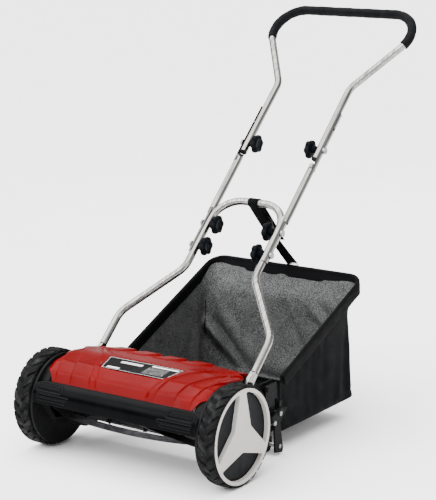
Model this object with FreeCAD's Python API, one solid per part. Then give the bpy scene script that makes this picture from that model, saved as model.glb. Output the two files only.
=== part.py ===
import FreeCAD, Part
import math
import os

# Push reel mower with a two-part tube handle and a hung grass bag.
# Millimetres. Origin on the ground under the middle of the wheel axle line;
# the front of the mower faces -Y, +X is to the right of a person seen from the front, +Z is up.

Vec = FreeCAD.Vector

# ---- driving dimensions -------------------------------------------------------------------
# Wheels and drive
wheel_radius = 112.5
tyre_width = 43.0
overall_width = 554.0
tyre_depth = 14.5            # tread face down to the rim barrel
cover_ring_radius = 106.0    # outer edge of the grey wheel cover
cover_depth = 7.0
stud_radius = 6.0
bush_wall = 3.0
hub_wall = 4.5
gear_module = 1.5
pinion_teeth = 13
ring_teeth = 53
gear_width = 11.0
reel_drop_angle = -5.0       # reel shaft seen from the wheel axle, degrees above +Y
# Side frames and body shell
wheel_gap = 3.5              # wheel to gear cover
gear_cover_thickness = 6.0
gear_cover_radius = 105.0
leg_bay = 21.5               # room for a handle leg between side frame and gear cover
side_plate = 5.0
shell_wall = 3.0
bar_wall = 3.0
panel_depth = 1.2
# Reel and bed knife
reel_radius = 60.0
blade_depth = 14.0
blade_thickness = 2.2
blade_count = 5
blade_twist = 78.0           # degrees from one end of the reel to the other
reel_end_gap = 8.0           # blade ends to side frame
shaft_radius = 6.0
spider_count = 5
spider_thickness = 2.5
knife_angle = 28.0           # bed knife edge behind the lowest point of the reel
knife_gap = 0.4
knife_thickness = 3.0
knife_width = 34.0
# Handle
handle_tilt = 44.0
upper_end_y = 565.0          # lower end of the upper handle tube
upper_end_rise = 510.5       # above the wheel axle
tube_radius = 9.0
tube_wall = 1.5
arch_half_width = 99.0
upper_leg_x = 103.7           # legs of the upper tube
mid_tube_x = 106.4
handle_length = 467.0        # upper tube, along the handle, end to grip bar
arch_top = -146.0            # places along the handle, from the upper tube's lower end
upper_bend = 221.0
lower_bend = -353.0
flare_bend = -501.0
leg_end = -655.0
mid_tube_top = 140.0
mid_tube_bottom = -308.0
clamp_places = (27.0, -222.0, -286.0)
spare_hole_place = 92.0
cradle_wall = 3.2            # a mid tube's ends are pressed to a cradle round the tube they carry
cradle_overlap = 12.0        # length over which cradle and round tube run into one another
bend_radius = 60.0
arch_corner_radius = 68.0
grip_corner_radius = 70.0
grip_flare = 31.2            # degrees that the upper legs lean out to the grip
foam_radius = 11.8
bolt_radius = 3.5
knob_radius = 22.5
knob_width = 15.0
# Rear roller
roller_y = 222.0
roller_radius = 21.0
roller_travel = 30.0
roller_end_gap = 4.0         # roller to the face of the side frame
arm_thickness = 5.0
bracket_thickness = 5.0
# Grass bag
bag_half_width = overall_width / 2 - 59.5
bag_wall = 2.5
bag_front_y = 240.0
bag_rear_top_y = 606.0
bag_rear_bottom_y = 566.0
bag_rear_waist_y = 560.0      # the rear wall is drawn in between floor and rim
bag_bottom_rise = -61.5      # above the wheel axle
bag_front_rise = 57.5
bag_rear_rise = 222.5
hem_width = 24.0
wire_radius = 2.5
strap_width = 28.0
strap_thickness = 2.0
# Clearances
running_gap = 0.06           # round running fits
seat_gap = 0.2               # pieces that sit side by side
soft_gap = 0.4               # cloth beside metal

# ---- places that follow from them ---------------------------------------------------------
axle_z = wheel_radius
wheel_outer_x = overall_width / 2
wheel_inner_x = wheel_outer_x - tyre_width
gear_cover_outer_x = wheel_inner_x - wheel_gap
gear_cover_inner_x = gear_cover_outer_x - gear_cover_thickness
frame_outer_x = gear_cover_inner_x - leg_bay
frame_inner_x = frame_outer_x - side_plate
leg_x = frame_outer_x + tube_radius + 1.0
reel_half_length = frame_inner_x - reel_end_gap
gear_centres = gear_module * (ring_teeth - pinion_teeth) / 2
reel_y = gear_centres * math.cos(math.radians(reel_drop_angle))
reel_z = axle_z + gear_centres * math.sin(math.radians(reel_drop_angle))
rim_radius = wheel_radius - tyre_depth
SIDES = (("left", -1), ("right", 1))


# ---- helpers ------------------------------------------------------------------------------
def box(x0, x1, y0, y1, z0, z1):
    return Part.makeBox(x1 - x0, y1 - y0, z1 - z0, Vec(x0, y0, z0))


def rod(y, z, radius, x0, x1):
    """Solid cylinder along X."""
    return Part.makeCylinder(radius, x1 - x0, Vec(x0, y, z), Vec(1, 0, 0))


def ring(y, z, outer, inner, x0, x1):
    return rod(y, z, outer, x0, x1).cut(rod(y, z, inner, x0 - 1, x1 + 1))


def plate(outline, x0, x1):
    """Prism along X over a closed (y, z) outline."""
    points = [Vec(x0, y, z) for y, z in outline]
    face = Part.Face(Part.makePolygon(points + points[:1]))
    return face.extrude(Vec(x1 - x0, 0, 0))


def raised(outline):
    """Turns (y, rise above the axle) points into (y, z)."""
    return [(y, axle_z + rise) for y, rise in outline]


def mirrored(shape):
    return shape.mirror(Vec(0, 0, 0), Vec(1, 0, 0))


def on_side(shape, sign):
    return shape if sign > 0 else mirrored(shape)


def fused(shapes):
    first, rest = shapes[0], shapes[1:]
    return first.fuse(rest).removeSplitter() if rest else first


def save(name, *solids):
    shape = solids[0] if len(solids) == 1 else Part.makeCompound(list(solids))
    shape.exportStep("parts/" + name + ".step")


def rounded_path(points, radii):
    """Straight runs joined by tangent arcs; radii belong to the inner points."""
    edges = []
    start = points[0]
    for i, radius in enumerate(radii, start=1):
        corner = points[i]
        back = (points[i - 1] - corner).normalize()
        on = (points[i + 1] - corner).normalize()
        half = back.getAngle(on) / 2
        reach = radius / math.tan(half)
        centre = corner + (back + on).normalize() * (radius / math.sin(half))
        first, last = corner + back * reach, corner + on * reach
        middle = centre + (corner - centre).normalize() * radius
        edges.append(Part.LineSegment(start, first).toShape())
        edges.append(Part.Arc(first, middle, last).toShape())
        start = last
    edges.append(Part.LineSegment(start, points[-1]).toShape())
    return edges


def swept(edges, radius):
    """Round bar along a list of edges."""
    path = Part.Wire(edges)
    first = edges[0]
    start = first.valueAt(first.FirstParameter)
    along = first.tangentAt(first.FirstParameter)
    profile = Part.Wire([Part.Circle(start, along, radius).toShape()])
    return path.makePipeShell([profile], True, False)


def bent_tube(edges, outer, inner):
    return swept(edges, outer).cut(swept(edges, inner))


tilt_cos = math.cos(math.radians(handle_tilt))
tilt_sin = math.sin(math.radians(handle_tilt))


def on_handle(x, along):
    """Point in the handle's plane, measured from the upper tube's lower end."""
    return Vec(x, upper_end_y + along * tilt_cos, axle_z + upper_end_rise + along * tilt_sin)


def gear_outline(teeth, tip, root, thinning, centre_y, centre_z, tooth_angle):
    """Involute tooth outline in the YZ plane; thinning is taken off each pitch thickness."""
    pitch = gear_module * teeth / 2
    base = pitch * math.cos(math.radians(20))
    half_at_pitch = (math.pi * gear_module / 2 - thinning) / (2 * pitch)
    roll_at_pitch = math.tan(math.radians(20)) - math.radians(20)
    lowest = max(base, root)
    flank = []
    for i in range(5):
        radius = lowest + (tip - lowest) * i / 4
        pressure = math.acos(min(1.0, base / radius))
        flank.append((radius, half_at_pitch + roll_at_pitch - (math.tan(pressure) - pressure)))
    points = []
    for tooth in range(teeth):
        centre = tooth_angle + 2 * math.pi * tooth / teeth
        side = [(root, flank[0][1])] + flank if root < base else flank
        for radius, half in side:
            points.append((radius, centre - half))
        for radius, half in reversed(side):
            points.append((radius, centre + half))
    return [(centre_y + r * math.cos(a), centre_z + r * math.sin(a)) for r, a in points]


def star(radius, lobes, depth, y, z, x0, x1):
    """Lobed knob body along X."""
    points = []
    steps = lobes * 12
    for i in range(steps):
        angle = 2 * math.pi * i / steps
        r = radius - depth * (0.5 - 0.5 * math.cos(lobes * angle)) ** 1.6
        points.append(Vec(x0, y + r * math.cos(angle), z + r * math.sin(angle)))
    curve = Part.BSplineCurve()
    curve.interpolate(points, PeriodicFlag=True)
    face = Part.Face(Part.Wire([curve.toShape()]))
    return face.extrude(Vec(x1 - x0, 0, 0))


os.makedirs("parts", exist_ok=True)

# ---- wheels -------------------------------------------------------------------------------
bush_radius = stud_radius + running_gap + bush_wall
hub_radius = bush_radius + hub_wall
hub_inner_x = wheel_inner_x + 3.0
web_inner_x = hub_inner_x + gear_width + 3.0
web_outer_x = web_inner_x + 4.0
hub_outer_x = web_outer_x + 1.0
stud_end_x = hub_outer_x + 5.0
cover_inner_x = wheel_outer_x - cover_depth
insert_outer_x = cover_inner_x - seat_gap
insert_inner_x = insert_outer_x - 3.0
ring_root = gear_module * (ring_teeth / 2 + 1.15)
ring_tip = gear_module * (ring_teeth / 2 - 0.6)
ring_outer = ring_root + 6.0
pinion_tip = gear_module * (pinion_teeth / 2 + 0.75)
pinion_root = gear_module * (pinion_teeth / 2 - 1.05)
mesh_angle = math.radians(reel_drop_angle)
gear_inner_x = hub_inner_x
gear_outer_x = gear_inner_x + gear_width

tyre = ring(0, axle_z, wheel_radius, rim_radius + seat_gap, wheel_inner_x, wheel_outer_x)
tyre = tyre.cut(rod(0, axle_z, cover_ring_radius + seat_gap, cover_inner_x - seat_gap, wheel_outer_x + 1))

rim_wall = 5.0
barrel = ring(0, axle_z, rim_radius, rim_radius - rim_wall, wheel_inner_x + 2, insert_inner_x - seat_gap)
web = ring(0, axle_z, rim_radius - 1, bush_radius + seat_gap, web_inner_x, web_outer_x)
hub = ring(0, axle_z, hub_radius, bush_radius + seat_gap, hub_inner_x, hub_outer_x)
wheel_rim = fused([barrel, web, hub])

hub_bush = ring(0, axle_z, bush_radius, stud_radius + running_gap, hub_inner_x, hub_outer_x)

ring_cut = plate(gear_outline(ring_teeth, ring_root, ring_tip, -0.25, 0, axle_z, mesh_angle),
                 gear_inner_x - 1, web_inner_x + 1)
ring_gear = ring(0, axle_z, ring_outer, ring_tip, gear_inner_x, web_inner_x - seat_gap).cut(ring_cut)

# Grey cover: outer ring, three tapering spokes and a round middle
spoke_root_half = 21.0
spoke_tip_half = 12.0
cover_ring_width = 13.0
spoke_reach = cover_ring_radius - cover_ring_width / 2
cover_ring = ring(0, axle_z, cover_ring_radius, cover_ring_radius - cover_ring_width,
                  cover_inner_x, wheel_outer_x)
spokes = []
for turn in (90, 210, 330):
    outline = []
    for out, across in ((0, -spoke_root_half), (spoke_reach, -spoke_tip_half),
                        (spoke_reach, spoke_tip_half), (0, spoke_root_half)):
        angle = math.radians(turn)
        outline.append((out * math.cos(angle) - across * math.sin(angle),
                        axle_z + out * math.sin(angle) + across * math.cos(angle)))
    spokes.append(plate(outline, cover_inner_x, wheel_outer_x))
wheel_cover = fused([cover_ring, rod(0, axle_z, 27.0, cover_inner_x, wheel_outer_x)] + spokes)
wheel_insert = rod(0, axle_z, rim_radius - seat_gap, insert_inner_x, insert_outer_x)

for side, sign in SIDES:
    save("tyre_" + side, on_side(tyre, sign))
    save("wheel_rim_" + side, on_side(wheel_rim, sign))
    save("hub_bush_" + side, on_side(hub_bush, sign))
    save("ring_gear_" + side, on_side(ring_gear, sign))
    save("wheel_cover_" + side, on_side(wheel_cover, sign))
    save("wheel_insert_" + side, on_side(wheel_insert, sign))

# ---- pinions on the ends of the reel shaft --------------------------------------------------
shaft_end_x = gear_outer_x + 1.5
pinion = plate(gear_outline(pinion_teeth, pinion_tip, pinion_root, 0.25, reel_y, reel_z, mesh_angle),
               gear_inner_x + 0.5, gear_outer_x - 0.5)
pinion = pinion.cut(rod(reel_y, reel_z, shaft_radius + running_gap, gear_inner_x, gear_outer_x))
for side, sign in SIDES:
    save("pinion_" + side, on_side(pinion, sign))

# ---- wheel studs and their clips ------------------------------------------------------------
stud = rod(0, axle_z, stud_radius, frame_inner_x - 4, stud_end_x)
stud = stud.fuse(rod(0, axle_z, 10.0, frame_inner_x - 6, frame_inner_x - seat_gap))
groove_x = hub_outer_x + 1.0
stud = stud.cut(ring(0, axle_z, stud_radius + 1, stud_radius - 0.8, groove_x, groove_x + 1.4))
clip = ring(0, axle_z, 10.5, stud_radius - 0.7, groove_x + 0.1, groove_x + 1.3)
clip = clip.cut(box(groove_x - 1, groove_x + 3, -4, 4, axle_z, axle_z + 12))
save("wheel_studs", stud, mirrored(stud))
save("stud_clips", clip, mirrored(clip))

# ---- reel -----------------------------------------------------------------------------------
pawl_length = 2 * shaft_radius - 1.0
pawl_slot = box(gear_inner_x + 2, gear_outer_x - 2, reel_y - 7, reel_y + 7, reel_z - 1.5, reel_z + 1.5)
shaft = rod(reel_y, reel_z, shaft_radius, -shaft_end_x, shaft_end_x)
shaft = shaft.cut(pawl_slot).cut(mirrored(pawl_slot))
pawl = box(gear_inner_x + 2.2, gear_outer_x - 2.2, reel_y - pawl_length / 2, reel_y + pawl_length / 2,
           reel_z - 1.4, reel_z + 1.4)

blade_inner = reel_radius - blade_depth
blade_lean = 12.0            # degrees that a blade leans forward of the radius


def blade_section(x, turn):
    """Blade outline across the reel at one x; turn is about the shaft, in degrees."""
    corners = []
    lean = math.radians(blade_lean)
    for radius, across in ((blade_inner, -blade_thickness / 2), (reel_radius, -blade_thickness / 2),
                           (reel_radius, blade_thickness / 2), (blade_inner, blade_thickness / 2)):
        skew = (radius - reel_radius) * math.tan(lean)
        along = math.sqrt(radius ** 2 - (across + skew) ** 2)
        angle = math.radians(turn)
        corners.append(Vec(x, reel_y + along * math.cos(angle) - (across + skew) * math.sin(angle),
                           reel_z + along * math.sin(angle) + (across + skew) * math.cos(angle)))
    return Part.makePolygon(corners + corners[:1])


blade_phase = -102.0         # first blade at the middle of the reel, degrees above +Y
blades = []
for i in range(blade_count):
    sections = []
    for step in range(13):
        share = step / 12 - 0.5
        turn = blade_phase + 360 * i / blade_count + blade_twist * share
        sections.append(blade_section(2 * reel_half_length * share, turn))
    blades.append(Part.makeLoft(sections, True, False))

spiders = []
arm_half = 7.0
for k in range(spider_count):
    share = k / (spider_count - 1) - 0.5
    x = (2 * reel_half_length - 2 * spider_thickness) * share
    disc = rod(reel_y, reel_z, 24.0, x - spider_thickness / 2, x + spider_thickness / 2)
    arms = []
    for i in range(blade_count):
        turn = blade_phase + 360 * i / blade_count + blade_twist * x / (2 * reel_half_length)
        arm = box(x - spider_thickness / 2, x + spider_thickness / 2,
                  reel_y, reel_y + blade_inner - 1.6, reel_z - arm_half, reel_z + arm_half)
        arm.rotate(Vec(0, reel_y, reel_z), Vec(1, 0, 0), turn - 4)
        arms.append(arm)
    spider = fused([disc] + arms).cut(rod(reel_y, reel_z, shaft_radius + 0.02, x - 5, x + 5))
    spiders.append(spider)

save("reel_shaft", shaft)
save("drive_pawls", pawl, mirrored(pawl))
save("reel_blades", *blades)
save("reel_spiders", *spiders)

# ---- reel bearings --------------------------------------------------------------------------
bearing_radius = 13.0
bearing_inner_x = frame_inner_x - 2.0
bearing_outer_x = frame_outer_x + 6.0
bearing = ring(reel_y, reel_z, bearing_radius, shaft_radius + running_gap, bearing_inner_x, bearing_outer_x)
save("reel_bearings", bearing, mirrored(bearing))

# ---- side frames ----------------------------------------------------------------------------
leg_bolts = (leg_end + 10.0, leg_end + 30.0)
leg_bolt_points = [on_handle(0, along) for along in leg_bolts]
boss_end_x = leg_x - 3.7
rod_places = raised(((-66.0, 37.5), (112.0, 8.0)))
side_outline = raised(((-84, 19), (-86, 46), (-72, 56), (-49, 84), (-25, 95), (30, 103), (100, 97),
                       (123, 93), (125, 84), (132, 78), (150, 72), (178, 60), (228, 60), (231, 40), (231, -40),
                       (212, -52), (180, -52), (100, -76), (52, -78), (10, -62), (-34, -26)))
bracket_screws = raised(((190.0, 46.0), (190.0, 15.0)))
side = plate(side_outline, frame_inner_x, frame_outer_x)
for point in leg_bolt_points:
    side = side.fuse(rod(point.y, point.z, 9.0, frame_outer_x - 1, boss_end_x))
side = side.cut(rod(0, axle_z, stud_radius + seat_gap, frame_inner_x - 5, frame_outer_x + 5))
side = side.cut(rod(reel_y, reel_z, bearing_radius + 0.05, frame_inner_x - 5, frame_outer_x + 5))
for point in leg_bolt_points:
    side = side.cut(rod(point.y, point.z, bolt_radius + seat_gap, frame_inner_x - 5, boss_end_x + 5))
for y, z in rod_places:
    side = side.cut(rod(y, z, 3.2, frame_inner_x - 5, frame_outer_x + 5))
for y, z in bracket_screws:
    side = side.cut(rod(y, z, 3.2, frame_inner_x - 5, frame_outer_x + 5))
side = side.removeSplitter()

# ---- bed knife and its bar ------------------------------------------------------------------
edge_radius = reel_radius + knife_gap
edge_y = reel_y + edge_radius * math.sin(math.radians(knife_angle))
edge_z = reel_z - edge_radius * math.cos(math.radians(knife_angle))
knife_end_x = frame_inner_x - seat_gap
bed_knife = plate([(edge_y, edge_z), (edge_y + knife_width, edge_z),
                   (edge_y + knife_width, edge_z - knife_thickness),
                   (edge_y + 3, edge_z - knife_thickness)], -knife_end_x, knife_end_x)
bar_top = edge_z - knife_thickness - 0.02
knife_bar = plate([(edge_y + 8, bar_top), (edge_y + knife_width + 4, bar_top),
                   (edge_y + knife_width + 4, bar_top + 16), (edge_y + knife_width + 8, bar_top + 16),
                   (edge_y + knife_width + 8, bar_top - 6), (edge_y + 12, bar_top - 6)],
                  -knife_end_x, knife_end_x)
knife_screws = []
for x in (-0.82, -0.41, 0.0, 0.41, 0.82):
    place = Vec(x * knife_end_x, edge_y + knife_width / 2 + 6, 0)
    hole = Part.makeCylinder(2.6, 40, Vec(place.x, place.y, edge_z - 30))
    bed_knife = bed_knife.cut(hole)
    knife_bar = knife_bar.cut(hole)
    screw = Part.makeCylinder(2.5, knife_thickness + 9, Vec(place.x, place.y, edge_z - knife_thickness - 9))
    screw = screw.fuse(Part.makeCylinder(4.6, 2.4, Vec(place.x, place.y, edge_z + 0.02)))
    knife_screws.append(screw)
save("bed_knife", bed_knife)
save("knife_bar", knife_bar)
save("knife_screws", *knife_screws)

# ---- tie rods -------------------------------------------------------------------------------
tie_rods = []
for y, z in rod_places:
    tie_rods.append(fused([rod(y, z, 6.0, -frame_inner_x + seat_gap, frame_inner_x - seat_gap),
                           rod(y, z, 3.0, -frame_outer_x - 4, frame_outer_x + 4)]))
save("tie_rods", *tie_rods)

# ---- end housings and gear covers -----------------------------------------------------------
housing_inner_x = frame_outer_x + seat_gap
housing_outer_x = gear_cover_inner_x - seat_gap
housing_wall = 4.0
housing_outline = ((-82, 16), (-82, 50), (-75, 58), (-51, 84), (-25, 93), (30, 101), (76, 97), (76, -30),
                   (30, -48), (-50, -36))
housing_room = ((-78, 17), (-78, 48), (-72, 55), (-48, 80), (-24, 88.5), (30, 96.5), (72, 92.5), (72, -27),
                (30, -43), (-48, -31))
housing = plate(raised(housing_outline), housing_inner_x, housing_outer_x)
housing = housing.cut(plate(raised(housing_room), housing_inner_x - 1, housing_outer_x + 1))
gear_cover = rod(0, axle_z, gear_cover_radius, gear_cover_inner_x, gear_cover_outer_x)
gear_cover = gear_cover.cut(ring(0, axle_z, gear_cover_radius - 5, 58, gear_cover_inner_x + 3,
                                 gear_cover_outer_x + 1))
gear_cover = gear_cover.cut(rod(0, axle_z, stud_radius + 0.5, gear_cover_inner_x - 1, gear_cover_outer_x + 1))
gear_cover = gear_cover.cut(rod(reel_y, reel_z, shaft_radius + 1.5, gear_cover_inner_x - 1,
                                gear_cover_outer_x + 1))

# ---- front guard bar ------------------------------------------------------------------------
bar_half_length = housing_outer_x


def bar_outline(inset):
    """Half-round guard section; inset shrinks it to the inside face."""
    bulge = Part.Arc(Vec(0, -76, axle_z + 62 - inset), Vec(0, -101 + inset * 0.8, axle_z + 44),
                     Vec(0, -102 + inset, axle_z + 17))
    return bulge.toShape()


outer_face = bar_outline(0)
inner_face = bar_outline(bar_wall)
bar_loop = Part.Wire(Part.__sortEdges__([
    outer_face, inner_face,
    Part.LineSegment(outer_face.Vertexes[0].Point, inner_face.Vertexes[0].Point).toShape(),
    Part.LineSegment(outer_face.Vertexes[1].Point, inner_face.Vertexes[1].Point).toShape()]))
front_guard = Part.Face(bar_loop).extrude(Vec(2 * bar_half_length, 0, 0))
front_guard.translate(Vec(-bar_half_length, 0, 0))

# ---- red top cover --------------------------------------------------------------------------
cover_half_width = gear_cover_inner_x - 2.5
cover_outline = ((-80, 51), (-62, 84.5), (-31, 103), (30, 112), (90, 107.5), (130, 100.5), (130, 84.5))
rear_notch_y = 84.0
rear_half_width = frame_outer_x + 0.5


def shell_profile():
    """Open band: the outer face, then the same face back again one wall lower."""
    outer = list(cover_outline)
    inner = []
    for i, (y, rise) in enumerate(outer):
        before = outer[max(i - 1, 0)]
        after = outer[min(i + 1, len(outer) - 1)]
        along = math.hypot(after[0] - before[0], after[1] - before[1])
        inner.append((y + (after[1] - before[1]) / along * shell_wall,
                      rise - (after[0] - before[0]) / along * shell_wall))
    return raised(outer + inner[::-1])


top_cover = plate(shell_profile(), -cover_half_width, cover_half_width)
corner_front_x = 184.0
corner_front_y = -78.0
corner_side_y = -51.0
corner_slope = (corner_side_y - corner_front_y) / (cover_half_width - corner_front_x)
beyond = 60.0


def corner_wedge(sign):
    """Everything in front of the slanted cut that takes off one front corner of the cover."""
    near_x, far_x = corner_front_x - beyond, cover_half_width + beyond
    outline = [(near_x, corner_front_y - beyond * corner_slope),
               (far_x, corner_side_y + beyond * corner_slope),
               (far_x, corner_front_y - beyond), (near_x, corner_front_y - beyond)]
    points = [Vec(sign * x, y, 0) for x, y in outline]
    return Part.Face(Part.makePolygon(points + points[:1])).extrude(Vec(0, 0, 400))


for sign in (-1, 1):
    top_cover = top_cover.cut(corner_wedge(sign))
    low, high = sorted((sign * rear_half_width, sign * (cover_half_width + 5)))
    top_cover = top_cover.cut(box(low, high, rear_notch_y, 200, 0, 400))

# Label panel let into the top of the cover
panel_y0, panel_y1 = -31.0, 30.0
panel_slope = (cover_outline[3][1] - cover_outline[2][1]) / (cover_outline[3][0] - cover_outline[2][0])


def panel_solid(grow, depth, lift):
    """Trapezoid slab lying on the cover's flat top facet."""
    corners = []
    for x, y in ((-87 - grow, panel_y0 + 2 - grow), (87 + grow, panel_y0 + 2 - grow),
                 (103 + grow, panel_y1 - 2 + grow), (-103 - grow, panel_y1 - 2 + grow)):
        rise = cover_outline[2][1] + (y - cover_outline[2][0]) * panel_slope
        corners.append(Vec(x, y, axle_z + rise + lift))
    face = Part.Face(Part.makePolygon(corners + corners[:1]))
    return face.extrude(Vec(0, 0, -depth))


top_cover = top_cover.cut(panel_solid(0.2, panel_depth + 5, 5))
badge_panel = panel_solid(0, panel_depth, 0)
save("top_cover", top_cover)
save("badge_panel", badge_panel)
save("front_guard", front_guard)
for side_name, sign in SIDES:
    save("end_housing_" + side_name, on_side(housing, sign))
    save("gear_cover_" + side_name, on_side(gear_cover, sign))

# ---- handle tubes ---------------------------------------------------------------------------
tube_bore = tube_radius - tube_wall
tube_end = leg_end + 62.0
right_leg = [on_handle(leg_x, tube_end), on_handle(leg_x, flare_bend), on_handle(arch_half_width, lower_bend),
             on_handle(arch_half_width, arch_top)]
left_leg = [Vec(-p.x, p.y, p.z) for p in reversed(right_leg)]
lower_edges = rounded_path(right_leg + left_leg,
                           [bend_radius, bend_radius, arch_corner_radius, arch_corner_radius,
                            bend_radius, bend_radius])
lower_handle = bent_tube(lower_edges, tube_radius, tube_bore)

# Each leg ends in a flattened, drilled tongue
tongue_half = 13.0
tongue_thickness = 7.0
tongue_start = tube_end - 20.0


def tongue_section(along, half_x, half_across):
    """Rectangle square to the handle, centred on the leg."""
    centre = on_handle(leg_x, along)
    across = Vec(0, -tilt_sin, tilt_cos)
    corners = [centre + Vec(i * half_x, 0, 0) + across * (j * half_across)
               for i, j in ((-1, -1), (1, -1), (1, 1), (-1, 1))]
    return Part.makePolygon(corners + corners[:1])


neck = Part.makeLoft([tongue_section(tube_end + 1, 6.2, 6.2),
                      tongue_section(tongue_start, tongue_thickness / 2, tongue_half)], True, True)
tongue = Part.makeLoft([tongue_section(tongue_start, tongue_thickness / 2, tongue_half),
                        tongue_section(leg_end - 4, tongue_thickness / 2, tongue_half)], True, True)
tongue = neck.fuse(tongue).removeSplitter()
for point in leg_bolt_points:
    tongue = tongue.cut(rod(point.y, point.z, bolt_radius + seat_gap, leg_x - 20, leg_x + 20))
lower_handle = fused([lower_handle, tongue, mirrored(tongue)])


flare = math.radians(grip_flare)
apex_x = upper_leg_x + (handle_length - upper_bend) * math.tan(flare)
upper_half = [on_handle(upper_leg_x, 0), on_handle(upper_leg_x, upper_bend),
              on_handle(apex_x, handle_length)]
upper_points = upper_half + [Vec(-p.x, p.y, p.z) for p in reversed(upper_half)]
upper_edges = rounded_path(upper_points, [bend_radius, grip_corner_radius, grip_corner_radius, bend_radius])
upper_handle = bent_tube(upper_edges, tube_radius, tube_bore)
foam_grip = bent_tube(upper_edges[3:6], foam_radius, tube_radius + 0.05)

# Mid tubes: round in the middle, each end pressed to a half-round cradle that the other tube lies in
mid_along = Vec(0, tilt_cos, tilt_sin)
arch_press = arch_top - arch_corner_radius / 2
press_reach = 20.0
plug_cap = 3.0


def along_handle(radius, x, low, high):
    return Part.makeCylinder(radius, high - low, on_handle(x, low), mid_along)


def legs_room(grow):
    """Room for the arch and for the upper leg with its plug, grown outwards by grow."""
    radius = tube_radius + seat_gap + grow
    upper = along_handle(radius, upper_leg_x, -press_reach - grow, mid_tube_top + cradle_overlap)
    return swept(lower_edges, radius).fuse(upper)


def fold_room():
    """What the upper leg sweeps in front of the cradle's outer wall, and its plug behind it."""
    inner_x, outer_x = mid_tube_x - 2 * tube_radius, upper_leg_x + tube_radius + seat_gap
    pivot = on_handle(0, clamp_places[0])
    plug_sweep = math.hypot(clamp_places[0] + plug_cap, tube_radius) + 3 * running_gap
    across = Vec(0, -tilt_sin, tilt_cos)
    foot, top = on_handle(inner_x, -press_reach), on_handle(inner_x, mid_tube_top + cradle_overlap)
    rise = across * (2 * tube_radius)
    front = Part.Face(Part.makePolygon([foot, top, top + rise, foot + rise, foot]))
    front = front.extrude(Vec(outer_x - inner_x, 0, 0))
    return front.fuse(rod(pivot.y, pivot.z, plug_sweep, inner_x, outer_x))


def cradle(leg, low, high):
    """Half-round shell on the outer side of a leg."""
    outer = tube_radius + seat_gap + cradle_wall
    shell = along_handle(outer, leg, low, high)
    outer_side = box(leg + 2.0, leg + 2 * outer, 0, 2000, 0, 2000)
    return shell.common(outer_side)


round_low, round_high = arch_press - cradle_overlap, -press_reach + cradle_overlap
mid_outer = along_handle(tube_radius, mid_tube_x, round_low, round_high)
mid_inner = along_handle(tube_bore, mid_tube_x, round_low + tube_wall, round_high - tube_wall)
mid_tube = fused([mid_outer, cradle(upper_leg_x, -press_reach - cradle_overlap, mid_tube_top),
                  cradle(arch_half_width, mid_tube_bottom, arch_press)])
mid_tube = mid_tube.cut(legs_room(0)).cut(mid_inner.cut(legs_room(tube_wall))).cut(fold_room())

clamp_points = [on_handle(0, along) for along in clamp_places]
spare = on_handle(0, spare_hole_place)
hole_radius = bolt_radius + 0.3
for point in clamp_points[1:]:
    hole = rod(point.y, point.z, hole_radius, -160, 160)
    lower_handle = lower_handle.cut(hole)
for point in clamp_points + [spare]:
    mid_tube = mid_tube.cut(rod(point.y, point.z, hole_radius, 50, 160))
upper_handle = upper_handle.cut(rod(clamp_points[0].y, clamp_points[0].z, hole_radius, -160, 160))


def tube_plug(x, along, out):
    """Push-in end plug; out is +1 or -1 along the handle."""
    end = on_handle(x, along)
    axis = Vec(0, tilt_cos * out, tilt_sin * out)
    cap = Part.makeCylinder(tube_radius, plug_cap - 0.1, end + axis * 0.1, axis)
    stem = Part.makeCylinder(tube_bore - 0.1, 12.0, end - axis * 11.0, axis)
    return cap.fuse(stem).removeSplitter()


upper_plug = tube_plug(upper_leg_x, 0, -1)
save("lower_handle", lower_handle)
save("mid_tube_right", mid_tube)
save("mid_tube_left", mirrored(mid_tube))
save("upper_handle", upper_handle)
save("foam_grip", foam_grip)
save("upper_tube_plugs", upper_plug, mirrored(upper_plug))

# ---- clamp bolts and star knobs -------------------------------------------------------------
clamp_bolts = []
knob_names = ("upper", "middle", "lower")
knob_neck = 10.0
for name, point in zip(knob_names, clamp_points):
    carried_x = upper_leg_x if name == "upper" else arch_half_width
    bolt_head_x = carried_x + tube_radius + cradle_wall + 2 * seat_gap
    inner_tube_face = carried_x - tube_radius
    knob_face_x = inner_tube_face - knob_neck
    bolt_tip_x = knob_face_x - knob_width + 5.0
    head = rod(point.y, point.z, 8.0, bolt_head_x, bolt_head_x + 4.5)
    bolt = head.fuse(rod(point.y, point.z, bolt_radius, bolt_tip_x, bolt_head_x + 1)).removeSplitter()
    clamp_bolts += [bolt, mirrored(bolt)]
    lobes = star(knob_radius, 6, 5.0, point.y, point.z, knob_face_x - knob_width, knob_face_x)
    neck = rod(point.y, point.z, 9.0, knob_face_x - 1, inner_tube_face - seat_gap)
    knob = fused([lobes, neck])
    knob = knob.cut(rod(point.y, point.z, bolt_radius + running_gap, bolt_tip_x - 1, inner_tube_face + 1))
    save("knob_" + name + "_right", knob)
    save("knob_" + name + "_left", mirrored(knob))
save("clamp_bolts", *clamp_bolts)

# ---- roller brackets on the side frames -----------------------------------------------------
bracket_inner_x = frame_outer_x + 8.0
bracket_outer_x = bracket_inner_x + bracket_thickness
arm_inner_x = gear_cover_inner_x - 1.5
arm_outer_x = arm_inner_x + arm_thickness
wire_x = bag_half_width + 0.5
wire_y = bag_front_y - 4.0
arm_screws = raised(((roller_y, -14.0), (roller_y - 24.0, -31.0)))
slot_half = 4.2
bracket = plate(raised(((182, 57), (226, 57), (230, 20), (230, -48), (205, -56), (182, -40))),
                bracket_inner_x, bracket_outer_x)
for y, z in bracket_screws:
    bracket = bracket.fuse(rod(y, z, 8.0, frame_outer_x + seat_gap, bracket_outer_x))
socket_low, socket_high = axle_z - 4.0, axle_z + 12.0
bracket = bracket.fuse(box(bracket_inner_x, wire_x + wire_radius + 1.5, wire_y - 7, wire_y + 4,
                           socket_low, socket_high))
bracket = bracket.cut(Part.makeCylinder(wire_radius + running_gap, 200, Vec(wire_x, wire_y, socket_low - 1)))
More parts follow.
